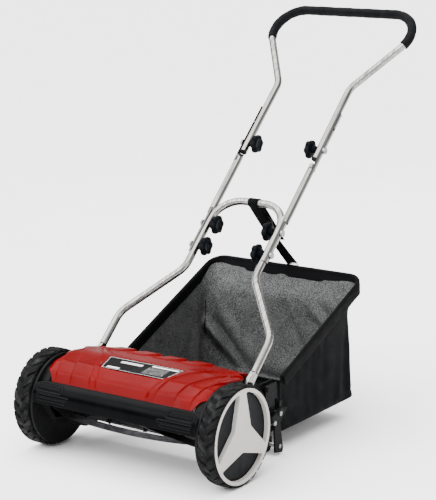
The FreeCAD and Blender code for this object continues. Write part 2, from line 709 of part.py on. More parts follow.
for y, z in bracket_screws:
    bracket = bracket.cut(rod(y, z, 3.2, frame_outer_x - 5, bracket_outer_x + 5))
for y, z in arm_screws:
    bracket = bracket.cut(box(bracket_inner_x - 1, bracket_outer_x + 1, y - slot_half, y + slot_half,
                              z, z + roller_travel))
    for height in (z, z + roller_travel):
        bracket = bracket.cut(rod(y, height, slot_half, bracket_inner_x - 1, bracket_outer_x + 1))
bracket = bracket.removeSplitter()

roller_z = roller_radius
arm_outline = [(roller_y + 6, axle_z - 2), (roller_y + 31, axle_z - 8), (roller_y + 11, axle_z - 24),
               (roller_y + 2, axle_z - 36), (roller_y + 8, roller_z + 20), (roller_y + 15, roller_z - 8),
               (roller_y + 11, roller_z - 17), (roller_y - 17, roller_z - 12),
               (roller_y - 22, axle_z - 26), (roller_y - 35, axle_z - 30), (roller_y - 30, axle_z - 16)]
arm = plate(arm_outline, arm_inner_x, arm_outer_x)
axle_radius = 5.0
arm = arm.cut(rod(roller_y, roller_z, axle_radius + 0.05, arm_inner_x - 1, arm_outer_x + 1))
screw_radius = 3.0
for y, z in arm_screws:
    arm = arm.cut(rod(y, z, screw_radius + 0.05, arm_inner_x - 1, arm_outer_x + 1))
roller_axle = rod(roller_y, roller_z, axle_radius, -arm_outer_x - 1.5, arm_outer_x + 1.5)
roller_half = frame_inner_x - roller_end_gap
rear_roller = rod(roller_y, roller_z, roller_radius, -roller_half, roller_half)
rear_roller = rear_roller.cut(rod(roller_y, roller_z, axle_radius + running_gap, -roller_half - 1, roller_half + 1))
groove_step = 2 * roller_half / 6
for k in range(1, 6):
    x = -roller_half + k * groove_step
    rear_roller = rear_roller.cut(ring(roller_y, roller_z, roller_radius + 1, roller_radius - 4, x - 3, x + 3))

carriage_screws = []
for y, z in arm_screws:
    shank = rod(y, z, screw_radius, bracket_inner_x - 7, arm_outer_x + 1)
    head = rod(y, z, 5.5, arm_outer_x + 0.05, arm_outer_x + 3.4)
    nut = ring(y, z, 6.0, screw_radius - 0.5, bracket_inner_x - 5.2, bracket_inner_x - 0.25)
    sleeve = ring(y, z, 6.0, screw_radius - 0.5, bracket_outer_x + 0.25, arm_inner_x - 0.05)
    screw = fused([shank, head, nut, sleeve])
    carriage_screws += [screw, mirrored(screw)]

frame_screws = []
for y, z in bracket_screws:
    frame_screws.append(fused([rod(y, z, 3.0, frame_inner_x - 4, bracket_outer_x + 1),
                               rod(y, z, 5.5, bracket_outer_x + 0.05, bracket_outer_x + 3.0),
                               rod(y, z, 5.5, frame_inner_x - 4, frame_inner_x - 0.05)]))
for point in leg_bolt_points:
    low_x, high_x = leg_x - tongue_thickness / 2, leg_x + tongue_thickness / 2
    frame_screws.append(fused([rod(point.y, point.z, bolt_radius, frame_inner_x - 5, high_x + 2),
                               rod(point.y, point.z, 7.0, high_x + 0.05, high_x + 4.0),
                               rod(point.y, point.z, 7.0, frame_inner_x - 5, frame_inner_x - 0.05)]))
for y, z in rod_places:
    frame_screws.append(ring(y, z, 5.5, 3.05, frame_outer_x + 0.05, frame_outer_x + 3.5))
save("frame_screws", *(frame_screws + [mirrored(s) for s in frame_screws]))
save("carriage_screws", *carriage_screws)
save("roller_axle", roller_axle)
save("rear_roller", rear_roller)
for side_name, sign in SIDES:
    save("side_frame_" + side_name, on_side(side, sign))
    save("roller_bracket_" + side_name, on_side(bracket, sign))
    save("roller_arm_" + side_name, on_side(arm, sign))

# ---- grass bag ------------------------------------------------------------------------------
floor_z = axle_z + bag_bottom_rise
rim_front = Vec(0, bag_front_y, axle_z + bag_front_rise)
rim_rear = Vec(0, bag_rear_top_y, axle_z + bag_rear_rise)
rim_run = (rim_rear - rim_front).normalize()
rim_up = Vec(0, -rim_run.z, rim_run.y)
waist_z = rim_rear.z - 62.0
bag_outer = plate([(bag_front_y, floor_z), (bag_front_y, rim_front.z), (bag_rear_top_y, rim_rear.z),
                   (bag_rear_top_y, rim_rear.z - hem_width), (bag_rear_waist_y, waist_z),
                   (bag_rear_bottom_y, floor_z)], -bag_half_width, bag_half_width)
rise_over_roller = 34.0
inner = [(bag_front_y - 20, floor_z + rise_over_roller), (bag_front_y + 14, floor_z + rise_over_roller),
         (bag_front_y + 60, floor_z + bag_wall + 2), (bag_rear_bottom_y - bag_wall, floor_z + bag_wall),
         (bag_rear_waist_y - bag_wall, waist_z + 1),
         (bag_rear_top_y - bag_wall, rim_rear.z - hem_width + 2), (bag_rear_top_y - bag_wall, rim_rear.z + 90),
         (bag_front_y - 20, rim_rear.z + 90)]
bag_room = plate(inner, -bag_half_width + bag_wall, bag_half_width - bag_wall)
under_room = plate([(bag_front_y - 20, floor_z - 5), (bag_front_y + 66, floor_z - 5),
                    (bag_front_y + 60, floor_z + 0.5), (bag_front_y + 14, floor_z + rise_over_roller - bag_wall),
                    (bag_front_y - 20, floor_z + rise_over_roller - bag_wall)],
                   -bag_half_width + bag_wall, bag_half_width - bag_wall)
bag = bag_outer.cut(bag_room).cut(under_room)
lip_cut = box(-bag_half_width + bag_wall, bag_half_width - bag_wall, bag_front_y - 30, bag_front_y + 12,
              floor_z - 5, floor_z + rise_over_roller + 3)
bag = bag.cut(lip_cut)

# Frame wire: down into both bracket sockets, along the rim and round the back
wire_rise = 4.0
corner_radius = 38.0
wire_low = socket_low + 2.0


def on_rim(x, along, lift):
    point = rim_front + rim_run * along + rim_up * lift
    return Vec(x, point.y, point.z)


rim_length = (rim_rear - rim_front).Length
front_top = on_rim(wire_x, 0, wire_rise)
front_top = Vec(wire_x, wire_y, front_top.z - (front_top.y - wire_y) * rim_run.z / rim_run.y)
wire_half = [Vec(wire_x, wire_y, wire_low), front_top, on_rim(wire_x, rim_length + 2.0, wire_rise)]
wire_points = wire_half + [Vec(-p.x, p.y, p.z) for p in reversed(wire_half)]
wire_edges = rounded_path(wire_points, [12.0, corner_radius, corner_radius, 12.0])
bag_wire = swept(wire_edges, wire_radius)
hem_room = swept(wire_edges, wire_radius + seat_gap)

hem_wrap = wire_radius + 1.6
hem_edges = wire_edges[2:7]
hem = swept(hem_edges, hem_wrap)
corners = [on_rim(0, 2.0, wire_rise - hem_width), on_rim(0, rim_length - 1.0, wire_rise - hem_width),
           on_rim(0, rim_length - 1.0, wire_rise), on_rim(0, 2.0, wire_rise)]
side_band = plate([(c.y, c.z) for c in corners], bag_half_width - bag_wall - 1.5, bag_half_width + 1.0)
back_band = plate([(bag_rear_top_y - bag_wall - 1.5, rim_rear.z - hem_width),
                   (bag_rear_top_y + 1.0, rim_rear.z - hem_width),
                   (bag_rear_top_y + 1.0, rim_rear.z + 3), (bag_rear_top_y - bag_wall - 1.5, rim_rear.z + 2)],
                  -bag_half_width + 10, bag_half_width - 10)
bag_fabric = fused([bag, hem, back_band, side_band, mirrored(side_band)]).cut(hem_room)
save("bag_fabric", *sorted(bag_fabric.Solids, key=lambda s: -s.Volume)[:1])
save("bag_wire", bag_wire)

# ---- bag strap ------------------------------------------------------------------------------
arch_centre = on_handle(0, arch_top)
strap_foot = Vec(0, bag_rear_top_y + hem_wrap + strap_thickness, rim_rear.z + 9.0)
down = (strap_foot - arch_centre).normalize()
side_way = Vec(0, down.z, -down.y)
loop_inner = tube_radius + soft_gap
loop = ring(arch_centre.y, arch_centre.z, loop_inner + strap_thickness, loop_inner, -strap_width / 2, strap_width / 2)
run_start = arch_centre + down * (loop_inner + strap_thickness / 2)
half = side_way * (strap_thickness / 2)
strap_run = plate([((run_start + half).y, (run_start + half).z), ((strap_foot + half).y, (strap_foot + half).z),
                   ((strap_foot - half).y, (strap_foot - half).z), ((run_start - half).y, (run_start - half).z)],
                  -strap_width / 2, strap_width / 2)
bag_strap = loop.fuse(strap_run).removeSplitter()
buckle_centre = arch_centre + down * 62.0


def buckle_outline(reach, across):
    corners = []
    for i, j in ((-1, -1), (1, -1), (1, 1), (-1, 1)):
        point = buckle_centre + down * (i * reach) + side_way * (j * across)
        corners.append((point.y, point.z))
    return corners


buckle = plate(buckle_outline(9.0, 3.6), -strap_width / 2 - 4, strap_width / 2 + 4)
buckle = buckle.cut(plate(buckle_outline(30.0, 1.3), -strap_width / 2 - 0.3, strap_width / 2 + 0.3))
save("bag_strap", bag_strap)
save("strap_buckle", buckle)
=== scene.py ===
import bmesh
import bpy
import math
import numpy as np
from mathutils import Matrix, Vector


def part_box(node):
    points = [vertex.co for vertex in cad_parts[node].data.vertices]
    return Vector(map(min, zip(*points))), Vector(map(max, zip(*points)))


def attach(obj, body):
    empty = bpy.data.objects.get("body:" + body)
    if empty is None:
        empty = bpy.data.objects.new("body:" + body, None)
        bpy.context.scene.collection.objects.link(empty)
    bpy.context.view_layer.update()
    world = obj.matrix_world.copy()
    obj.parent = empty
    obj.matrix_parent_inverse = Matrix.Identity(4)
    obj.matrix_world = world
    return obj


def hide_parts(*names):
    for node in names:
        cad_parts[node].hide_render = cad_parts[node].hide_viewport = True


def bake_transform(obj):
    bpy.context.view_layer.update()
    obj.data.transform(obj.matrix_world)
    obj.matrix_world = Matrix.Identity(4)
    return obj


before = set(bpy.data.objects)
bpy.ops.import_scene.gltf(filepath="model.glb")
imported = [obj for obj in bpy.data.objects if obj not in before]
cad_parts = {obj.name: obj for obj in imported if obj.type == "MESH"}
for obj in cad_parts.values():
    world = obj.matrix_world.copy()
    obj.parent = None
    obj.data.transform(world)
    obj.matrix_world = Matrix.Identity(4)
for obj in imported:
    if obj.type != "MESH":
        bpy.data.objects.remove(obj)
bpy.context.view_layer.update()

# ---- Camera, floor and light ---------------------------------------------------------------
# A long lens from the front right, a little above the mower, and a pale floor that runs out of view.
# One large soft light stands above the front left, with a weaker one each side and one behind.
def placed(name, data):
    """An object for a mesh, lamp or camera, put in the scene."""
    made = bpy.data.objects.new(name, data)
    bpy.context.scene.collection.objects.link(made)
    return made


camera = placed("camera", bpy.data.cameras.new("camera"))
camera.data.sensor_width = 36.0
camera.data.lens = 122.54
camera.data.clip_end = 200.0
camera.location = (2.2092, -2.8855, 1.2714)
camera.rotation_euler = (math.radians(90 - 12.185), 0, math.radians(34.70))
bpy.context.scene.camera = camera

light_target = Vector((0, 0.2, 0.3))
for name, place, size, power in (("light_main", (-1.6, -2.6, 3.0), 2.2, 60.0),
                                 ("light_right", (3.2, -0.6, 1.6), 1.4, 26.0),
                                 ("light_back", (-0.6, 3.2, 2.6), 1.8, 40.0)):
    lamp = bpy.data.lights.new(name, "AREA")
    lamp.shape = "DISK"
    lamp.size = size
    lamp.energy = power
    light = placed(name, lamp)
    light.location = place
    light.rotation_euler = (light_target - Vector(place)).to_track_quat("-Z", "Y").to_euler()

overhead = bpy.data.lights.new("light_overhead", "SUN")
overhead.energy = 11.0
overhead.angle = math.radians(95)
placed("light_overhead", overhead).rotation_euler = (math.radians(18), math.radians(-14), 0)

world = bpy.data.worlds.new("studio")
world.use_nodes = True
background = world.node_tree.nodes["Background"].inputs
background["Color"].default_value = (1.0, 1.0, 1.0, 1)
background["Strength"].default_value = 0.85
bpy.context.scene.world = world


class Value:
    """A number or colour that varies over a surface; sums and products of it add Math nodes."""

    def __init__(self, finish, socket):
        self.finish = finish
        self.socket = socket

    def combine(self, operation, first, second):
        return self.finish.node("ShaderNodeMath", {"operation": operation}, {0: first, 1: second})

    def __add__(self, other):
        return self.combine("ADD", self, other)

    def __sub__(self, other):
        return self.combine("SUBTRACT", self, other)

    def __rsub__(self, other):
        return self.combine("SUBTRACT", other, self)

    def __mul__(self, other):
        return self.combine("MULTIPLY", self, other)

    def __gt__(self, other):
        return self.combine("GREATER_THAN", self, other)

    def __lt__(self, other):
        return self.combine("LESS_THAN", self, other)

    __radd__ = __add__
    __rmul__ = __mul__


class Finish:
    """One material on a Principled surface; constants go on its own sockets."""

    def __init__(self, name, **constants):
        self.material = bpy.data.materials.new(name)
        self.material.use_nodes = True
        self.tree = self.material.node_tree
        self.surface = self.tree.nodes["Principled BSDF"]
        for socket, value in constants.items():
            self.surface.inputs[socket.replace("_", " ")].default_value = value

    def put(self, socket, value):
        if isinstance(value, Value):
            self.tree.links.new(value.socket, socket)
        else:
            socket.default_value = value

    def node(self, kind, settings=None, inputs=None, output=0):
        made = self.tree.nodes.new(kind)
        for name, value in (settings or {}).items():
            setattr(made, name, value)
        for socket, value in (inputs or {}).items():
            self.put(made.inputs[socket], value)
        return Value(self, made.outputs[output])

    def place(self, stretch=(1, 1, 1), turn=(0, 0, 0)):
        """Coordinates on the object, in metres."""
        whole = self.node("ShaderNodeTexCoord", output="Object")
        turned = self.node("ShaderNodeMapping", None, {"Vector": whole, "Rotation": turn})
        return self.node("ShaderNodeMapping", None, {"Vector": turned, "Scale": stretch})

    def along(self, axis):
        """One coordinate of the object, in metres."""
        return self.node("ShaderNodeSeparateXYZ", None, {0: self.place()}, output=axis)

    def noise(self, scale, detail=3.0, stretch=(1, 1, 1), turn=(0, 0, 0)):
        return self.node("ShaderNodeTexNoise", None,
                         {"Vector": self.place(stretch, turn), "Scale": scale, "Detail": detail})

    def spread(self, value, low, high, to_low=0.0, to_high=1.0):
        """Stretches low..high of a value to a new range and holds it there."""
        return self.node("ShaderNodeMapRange", {"interpolation_type": "SMOOTHSTEP"},
                         {0: value, 1: low, 2: high, 3: to_low, 4: to_high})

    def mix(self, share, first, second):
        return self.node("ShaderNodeMix", {"data_type": "RGBA"}, {0: share, 6: first, 7: second}, output=2)

    def edge_highlight_and_wear(self):
        """1 on sharp convex edges, 0 elsewhere; the mask for edges painted lighter, as a painted highlight
        and as wear.
        """
        point = self.node("ShaderNodeNewGeometry", output="Pointiness")
        return self.spread(point, 0.515, 0.56)

    def bump(self, height, distance, strength=1.0):
        made = self.node("ShaderNodeBump", None,
                         {"Height": height, "Distance": distance, "Strength": strength})
        self.put(self.surface.inputs["Normal"], made)

    def paint(self, **sockets):
        for name, value in sockets.items():
            self.put(self.surface.inputs[name.replace("_", " ")], value)
        return self


def colour(red, green, blue):
    return (red, green, blue, 1.0)


floor_finish = Finish("studio_floor")
floor_tone = floor_finish.spread(floor_finish.noise(3.0), 0.2, 0.8)
floor_finish.paint(Base_Color=floor_finish.mix(floor_tone, colour(0.93, 0.93, 0.93),
                                               colour(0.96, 0.96, 0.96)),
                   Roughness=0.75 + floor_finish.noise(40.0) * 0.1)
floor_mesh = bpy.data.meshes.new("floor")
floor_reach = 60.0
floor_corners = [(x * floor_reach, y * floor_reach, 0) for x, y in ((-1, -1), (1, -1), (1, 1), (-1, 1))]
floor_mesh.from_pydata(floor_corners, [], [(0, 1, 2, 3)])
floor_mesh.materials.append(floor_finish.material)
floor = placed("floor", floor_mesh)
floor.location.z = -0.0005

# ---- Tyres ---------------------------------------------------------------------------------
# Solid rubber tyres pressed on the rims: two staggered rows of slanted lugs with a plain centre rib,
# moulded in one piece, so grooves run out over rounded shoulders and leave a scalloped edge.
rubber = Finish("tyre_rubber", Specular_IOR_Level=0.07)
dust = rubber.spread(rubber.noise(60.0, 6.0), 0.45, 0.8)
# Paler in dusty patches and on sharp lug edges: the dust is real, and the edges are partly wear and partly a
# painted highlight.
rubber.paint(Base_Color=rubber.mix(dust * 0.5 + rubber.edge_highlight_and_wear() * 0.4, colour(0.0016, 0.0017, 0.0019),
                                   colour(0.034, 0.0345, 0.035)),
             Roughness=0.62 + rubber.noise(90.0) * 0.2)
rubber.bump(rubber.noise(900.0, 4.0), 0.00025)
sides = (("left", -1), ("right", 1))

tyre_low, tyre_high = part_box("tyre_right")
axle_z = (tyre_low.z + tyre_high.z) / 2
wheel_radius = (tyre_high.z - tyre_low.z) / 2
tyre_half = (tyre_high.x - tyre_low.x) / 2
tyre_middle = (tyre_high.x + tyre_low.x) / 2
lug_count, rows_per_lug = 25, 28
groove_depth = 0.0056
cover_radius = 0.106
rim_radius = wheel_radius - 0.0145
cover_depth = 0.0072


def grid_mesh(name, points, close_around=False, close_across=False, flip=False):
    """Quad mesh over a (rows, columns, 3) array; rows and columns may join up with their starts."""
    rows, columns = points.shape[:2]
    faces = []
    for i in range(rows if close_around else rows - 1):
        for j in range(columns if close_across else columns - 1):
            right, above = (i + 1) % rows, (j + 1) % columns
            quad = (i * columns + j, right * columns + j, right * columns + above, i * columns + above)
            faces.append(quad[::-1] if flip else quad)
    mesh = bpy.data.meshes.new(name)
    mesh.from_pydata(points.reshape(-1, 3).tolist(), [], faces)
    mesh.polygons.foreach_set("use_smooth", [True] * len(mesh.polygons))
    return mesh


def piece(name, mesh, finish, body, slot, *replaced):
    """An object for a mesh: its finish, the body it rides on (None leaves it on no body)
    and the CAD nodes it stands for."""
    made = placed(name, mesh)
    mesh.materials.clear()
    mesh.materials.append(finish)
    if body:
        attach(made, body)
    if replaced:
        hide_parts(*replaced)
    return made


def step(value, low, high):
    """Smooth step for arrays."""
    share = np.clip((value - low) / (high - low), 0, 1)
    return share * share * (3 - 2 * share)


def lug_height(turn, across):
    """1 on a lug and 0 in a groove; turn is in lugs, across runs from -1 to 1 over the tread."""
    out = np.abs(across)
    slant, centre_slot, sipe_depth = 0.62, 0.35, 0.3
    stagger = np.where(across > 0, 0.0, 0.5)
    from_groove = np.abs((turn + slant * out + stagger) % 1.0 - 0.5)
    lug = step(from_groove, 0.075 + 0.04 * out, 0.120 + 0.04 * out)
    rib = 1 - step(out, 0.10, 0.17)
    wave = np.sin(math.tau * turn)
    from_slot = np.abs(across - 0.09 * np.sign(wave) * np.abs(wave) ** 0.4)
    sipe = (1 - step(np.abs(from_groove - 0.36), 0.012, 0.035)) * step(out, 0.35, 0.42)
    return np.maximum(lug, rib) - centre_slot * (1 - step(from_slot, 0.015, 0.045)) - sipe_depth * sipe * lug


def tyre_mesh(name, sign):
    """The whole section of the tyre, tread and both walls, carried once round the wheel."""
    turns = np.arange(lug_count * rows_per_lug) / rows_per_lug
    across = np.linspace(1, -1, 53)
    turn_grid, across_grid = np.meshgrid(turns, across, indexing="ij")
    height = lug_height(turn_grid, across_grid)
    crown = wheel_radius - 0.0006 * across_grid ** 2 - 0.0030 * np.abs(across_grid) ** 10
    low = crown - groove_depth * (1 - 0.68 * np.abs(across_grid) ** 8)
    radius = low + (crown - low) * height
    side = tyre_half * across_grid * (0.955 + 0.045 * np.maximum(height, 1 - np.abs(across_grid) ** 12))
    inner_wall = [(-tyre_half * 0.97, 0.1045), (-tyre_half, 0.1020), (-tyre_half, 0.0992),
                  (-tyre_half + 0.0012, rim_radius), (tyre_half - cover_depth, rim_radius)]
    lip_radius = cover_radius + 0.0003
    outer_wall = [(tyre_half - cover_depth, lip_radius), (tyre_half - 0.0006, lip_radius)]
    walls = [np.array([wall] * len(turns)) for wall in (outer_wall, inner_wall)]
    section = np.concatenate([walls[0], np.stack([side, radius], -1), walls[1]], axis=1)
    angle = (turns / lug_count * math.tau)[:, None]
    points = np.stack([sign * (tyre_middle + section[..., 0]),
                       section[..., 1] * np.cos(angle), axle_z + section[..., 1] * np.sin(angle)], -1)
    return grid_mesh(name, points, close_around=True, close_across=True, flip=sign < 0)


for side, sign in sides:
    piece("tyre_tread_" + side, tyre_mesh("tyre_tread", sign), rubber.material,
          "wheel_" + side, "tyre_rubber", "tyre_" + side)

# ---- Wheel covers and ribbed windows ---------------------------------------------------------
# Each wheel's outer face is one light grey moulding, an outer ring with three spokes that widen into
# the middle; through its three windows the dark ribbed face of the rim shows, about a centimetre down.
def tinted(base, share, more=0.0):
    """A colour scaled by a share, with a little grey added, and held at white."""
    return tuple(min(1.0, c * share + more) for c in base[:3]) + (1.0,)


def moulded(name, base, rough, grain=0.00006, grain_scale=1400.0, shift=0.25, **constants):
    """Moulded plastic: fine spark-eroded grain, slow changes of tone, edges paler from wear and a painted
    highlight.
    """
    finish = Finish(name, **constants)
    tone = finish.spread(finish.noise(14.0), 0.3, 0.7)
    body = finish.mix(tone, base, tinted(base, 1 + shift, 0.0006))
    smudge = finish.spread(finish.noise(55.0, 5.0), 0.35, 0.75)
    # Sharp edges are mixed to a paler tint: a painted highlight, partly also wear.
    finish.paint(Base_Color=finish.mix(finish.edge_highlight_and_wear() * 0.35, body, tinted(base, 1.4, 0.012)),
                 Roughness=rough + smudge * 0.1 - 0.05)
    finish.bump(finish.noise(grain_scale, 2.0), grain)
    return finish.material


cover_grey = moulded("cover_grey", colour(0.36, 0.345, 0.325), 0.45, shift=0.06, Specular_IOR_Level=0.2)
window_black = moulded("window_plastic", colour(0.0040, 0.0045, 0.0053), 0.5, Specular_IOR_Level=0.06)
ring_inner, cover_bevel, plate_depth = 0.0990, 0.0013, 0.0115
spoke_root, spoke_taper = 0.0335, 0.24


def rounded(points, radii, closed=False, pieces=8):
    """The corners of a route replaced by arcs; a radius of 0 keeps the corner."""
    count = len(points)
    route = []
    for i, (corner, radius) in enumerate(zip(points, radii)):
        if radius == 0 or (not closed and i in (0, count - 1)):
            route.append(Vector(corner))
            continue
        corner = Vector(corner)
        back = (Vector(points[i - 1]) - corner).normalized()
        on = (Vector(points[(i + 1) % count]) - corner).normalized()
        half = back.angle(on) / 2
        if half > 1.565:
            route.append(corner)
            continue
        centre = corner + (back + on).normalized() * (radius / math.sin(half))
        first = corner + back * (radius / math.tan(half)) - centre
        last = corner + on * (radius / math.tan(half)) - centre
        for k in range(pieces + 1):
            route.append(centre + first.slerp(last, k / pieces) * radius)
    return route


def filled(name, outlines, depth, bevel):
    """Flat plate with holes, from closed outlines in its own XY plane, with rounded edges."""
    shape = bpy.data.curves.new(name, "CURVE")
    shape.dimensions = "2D"
    shape.fill_mode = "BOTH"
    shape.extrude = depth / 2 - bevel
    shape.bevel_depth = bevel
    shape.bevel_resolution = 3
    for outline in outlines:
        spline = shape.splines.new("POLY")
        spline.points.add(len(outline) - 1)
        for point, place in zip(spline.points, outline):
            point.co = (place[0], place[1], 0, 1)
        spline.use_cyclic_u = True
    holder = placed(name, shape)
    bpy.context.view_layer.update()
    mesh = bpy.data.meshes.new_from_object(holder.evaluated_get(bpy.context.evaluated_depsgraph_get()))
    bpy.data.objects.remove(holder)
    bpy.data.curves.remove(shape)
    return mesh


def window_outline(turn):
    """One window of the cover, about the wheel's centre; turn is the direction of its middle, in degrees."""
    vertex = spoke_root / (math.sin(math.radians(60)) + spoke_taper * 0.5)
    half_spoke = spoke_root - spoke_taper * ring_inner
    half_angle = 60 - math.degrees(math.asin(half_spoke / ring_inner))
    corners = [(vertex, 0.0)]
    radii = [0.008]
    for k in range(13):
        angle = half_angle * (1 - k / 6)
        corners.append((ring_inner, angle))
        radii.append(0.0045 if k in (0, 12) else 0)
    flat = []
    for radius, angle in corners:
        a = math.radians(turn + angle)
        flat.append((radius * math.cos(a), radius * math.sin(a), 0))
    return rounded(flat, radii, closed=True)


def circle(radius, count):
    return [(radius * math.cos(math.tau * k / count), radius * math.sin(math.tau * k / count), 0)
            for k in range(count)]


def ribbed_disc(name, radius, relief, pitch, sign):
    """Disc of upright half-round ribs."""
    places = np.linspace(-radius * 0.999, radius * 0.999, int(radius * 2 / pitch) * 8 + 1)
    points = np.zeros((len(places), 2, 3))
    for i, y in enumerate(places):
        half = math.sqrt(radius ** 2 - y ** 2)
        lift = relief * abs(math.sin(math.pi * y / pitch)) ** 0.6
        points[i] = [(sign * lift, y, -half), (sign * lift, y, half)]
    return grid_mesh(name, points, flip=sign < 0)


outer_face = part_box("wheel_cover_right")[1].x
for side, sign in sides:
    outlines = [circle(cover_radius - cover_bevel, 128)] + [window_outline(turn) for turn in (30, 150, 270)]
    cover = filled("wheel_face", outlines, plate_depth, cover_bevel)
    stand = Matrix(((0, 0, sign), (sign, 0, 0), (0, 1, 0))).to_4x4()
    cover.transform(Matrix.Translation((sign * (outer_face - plate_depth / 2), 0, axle_z)) @ stand)
    cover.polygons.foreach_set("use_smooth", [False] * len(cover.polygons))
    piece("wheel_face_" + side, cover, cover_grey, "wheel_" + side, "cover_grey", "wheel_cover_" + side)
    disc = ribbed_disc("wheel_window", rim_radius - 0.0004, 0.0007, 0.0045, sign)
    disc.transform(Matrix.Translation((sign * (outer_face - plate_depth + 0.0004), 0, axle_z)))
    piece("wheel_window_" + side, disc, window_black, "wheel_" + side, "window_plastic",
          "wheel_insert_" + side)

# ---- Rims, gears, bushes, studs ----------------------------------------------------------------
# Black rim mouldings with natural nylon ring gears and bushes, turning on zinc plated steel studs.
# The pinions on the reel shaft are the same nylon, and sprung clips hold the wheels on.
black_plastic = moulded("black_plastic", colour(0.0012, 0.0013, 0.0015), 0.30, Specular_IOR_Level=0.02)
nylon = moulded("gear_nylon", colour(0.60, 0.575, 0.50), 0.4, shift=0.08)


def metal(name, base, rough, stretch, turn=(0, 0, 0), streak=0.00003, **constants):
    """Bare metal with drawing or grinding marks that run along one direction."""
    finish = Finish(name, Metallic=1.0, **constants)
    marks = finish.noise(240.0, 5.0, stretch, turn)
    cloud = finish.spread(finish.noise(18.0, 3.0), 0.3, 0.7)
    finish.paint(Base_Color=finish.mix(cloud * 0.25 + finish.spread(marks, 0.36, 0.66) * 0.75,
                                       base, tinted(base, 0.38)),
                 Roughness=rough + marks * 0.14 + cloud * 0.06 - 0.08)
    finish.bump(marks, streak)
    return finish.material


zinc = metal("zinc_steel", colour(0.26, 0.26, 0.27), 0.27, (1, 1, 1))


def coat(material, *nodes):
    """Gives CAD nodes a finish through their own material slots."""
    for node in nodes:
        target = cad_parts[node]
        if not target.material_slots:
            target.data.materials.append(material)
        for slot in target.material_slots:
            slot.material = material


def both(*stems):
    """The left and the right node of each stem."""
    return [stem + side for stem in stems for side, sign in sides]


coat(black_plastic, *both("wheel_rim_"))
coat(nylon, *both("ring_gear_", "hub_bush_", "pinion_"))
coat(zinc, "wheel_studs", "stud_clips")

# ---- Reel, bed knife, bearings ---------------------------------------------------------------
# Five helical blades of painted spring steel with ground edges, welded to star-shaped plates on the
# shaft; they shear against a hardened bed knife that is screwed to a black bar.
black_paint = moulded("black_steel", colour(0.0013, 0.0014, 0.0016), 0.40, grain=0.00012, grain_scale=500.0,
                      Specular_IOR_Level=0.02)
blade_steel = metal("blade_steel", colour(0.045, 0.045, 0.048), 0.42, (0.15, 1, 1))
coat(blade_steel, "reel_blades", "bed_knife")
coat(black_paint, "reel_spiders", "knife_bar", "tie_rods", *both("side_frame_"))
coat(zinc, "reel_shaft", "drive_pawls", "knife_screws")
coat(black_plastic, "reel_bearings")

# ---- End housings and gear covers --------------------------------------------------------------
# Black plastic mouldings screwed to the side frames. They close the ends of the body and cover the
# gears on the inner side of each wheel.
coat(black_plastic, *both("end_housing_", "gear_cover_"))

# ---- Front guard -------------------------------------------------------------------------------
# A long half-round moulding in satin black across the front. Near each end it carries a raised
# racetrack outline with a bar in it, and two longer bars below.
guard_low, guard_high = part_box("front_guard")
guard_black = moulded("guard_plastic", colour(0.0006, 0.0007, 0.0009), 0.18, grain=0.00003,
                      Specular_IOR_Level=0.02)
guard_route = [(guard_high.y, guard_high.z), (-0.0900, axle_z + 0.0570), (-0.0985, axle_z + 0.0475),
               (-0.1030, axle_z + 0.0330), (guard_low.y + 0.0012, guard_low.z)]


def resampled(route, spacing):
    """Points at equal distances along a polyline."""
    route = np.array([tuple(p) for p in route])
    gaps = np.linalg.norm(np.diff(route, axis=0), axis=1)
    travelled = np.concatenate([[0], np.cumsum(gaps)])
    count = max(2, int(round(travelled[-1] / spacing)) + 1)
    wanted = np.linspace(0, travelled[-1], count)
    return np.stack([np.interp(wanted, travelled, route[:, k]) for k in range(route.shape[1])], -1)


def unit(rows):
    """Each row at length 1."""
    return rows / np.linalg.norm(rows, axis=1)[:, None]


def headings(line):
    """The direction of a line at each of its points."""
    return unit(np.gradient(line, axis=0))


def stadium(end, across, centre, half_length, half_height):
    """Signed distance to a slot shape with round ends; negative inside."""
    outside = np.maximum(np.abs(end - centre) - (half_length - half_height), 0)
    return np.hypot(outside, across) - half_height


def guard_relief(x, rise):
    """Height of the raised shapes; rise is measured up from the axle."""
    end = np.abs(x)
    ring_rise, ring_middle = 0.0505, 0.180
    ring = np.abs(stadium(end, rise - ring_rise, ring_middle, 0.036, 0.0066))
    relief = 0.0013 * (1 - step(ring, 0.0008, 0.0018))
    bar = stadium(end, rise - ring_rise, ring_middle, 0.029, 0.0020)
    relief = relief + 0.0008 * (1 - step(bar, -0.0004, 0.0008))
    for height, centre, half in ((0.0365, 0.1680, 0.0455), (0.0275, 0.1720, 0.0410)):
        rail = stadium(end, rise - height, centre, half, 0.0024)
        relief = relief + 0.0015 * (1 - step(rail, -0.0006, 0.0009))
    return relief


guard_curve = bpy.data.curves.new("guard_profile", "CURVE")
guard_curve.dimensions = "3D"
profile_spline = guard_curve.splines.new("NURBS")
profile_spline.points.add(len(guard_route) - 1)
for point, (y, z) in zip(profile_spline.points, guard_route):
    point.co = (0, y, z, 1)
profile_spline.order_u = 3
profile_spline.use_endpoint_u = True
profile_spline.resolution_u = 16
profile_holder = bpy.data.objects.new("guard_profile", guard_curve)
profile_mesh = bpy.data.meshes.new_from_object(profile_holder)
guard_line = resampled([(v.co.y, v.co.z) for v in profile_mesh.vertices], 0.0008)
bpy.data.objects.remove(profile_holder)
bpy.data.curves.remove(guard_curve)
bpy.data.meshes.remove(profile_mesh)

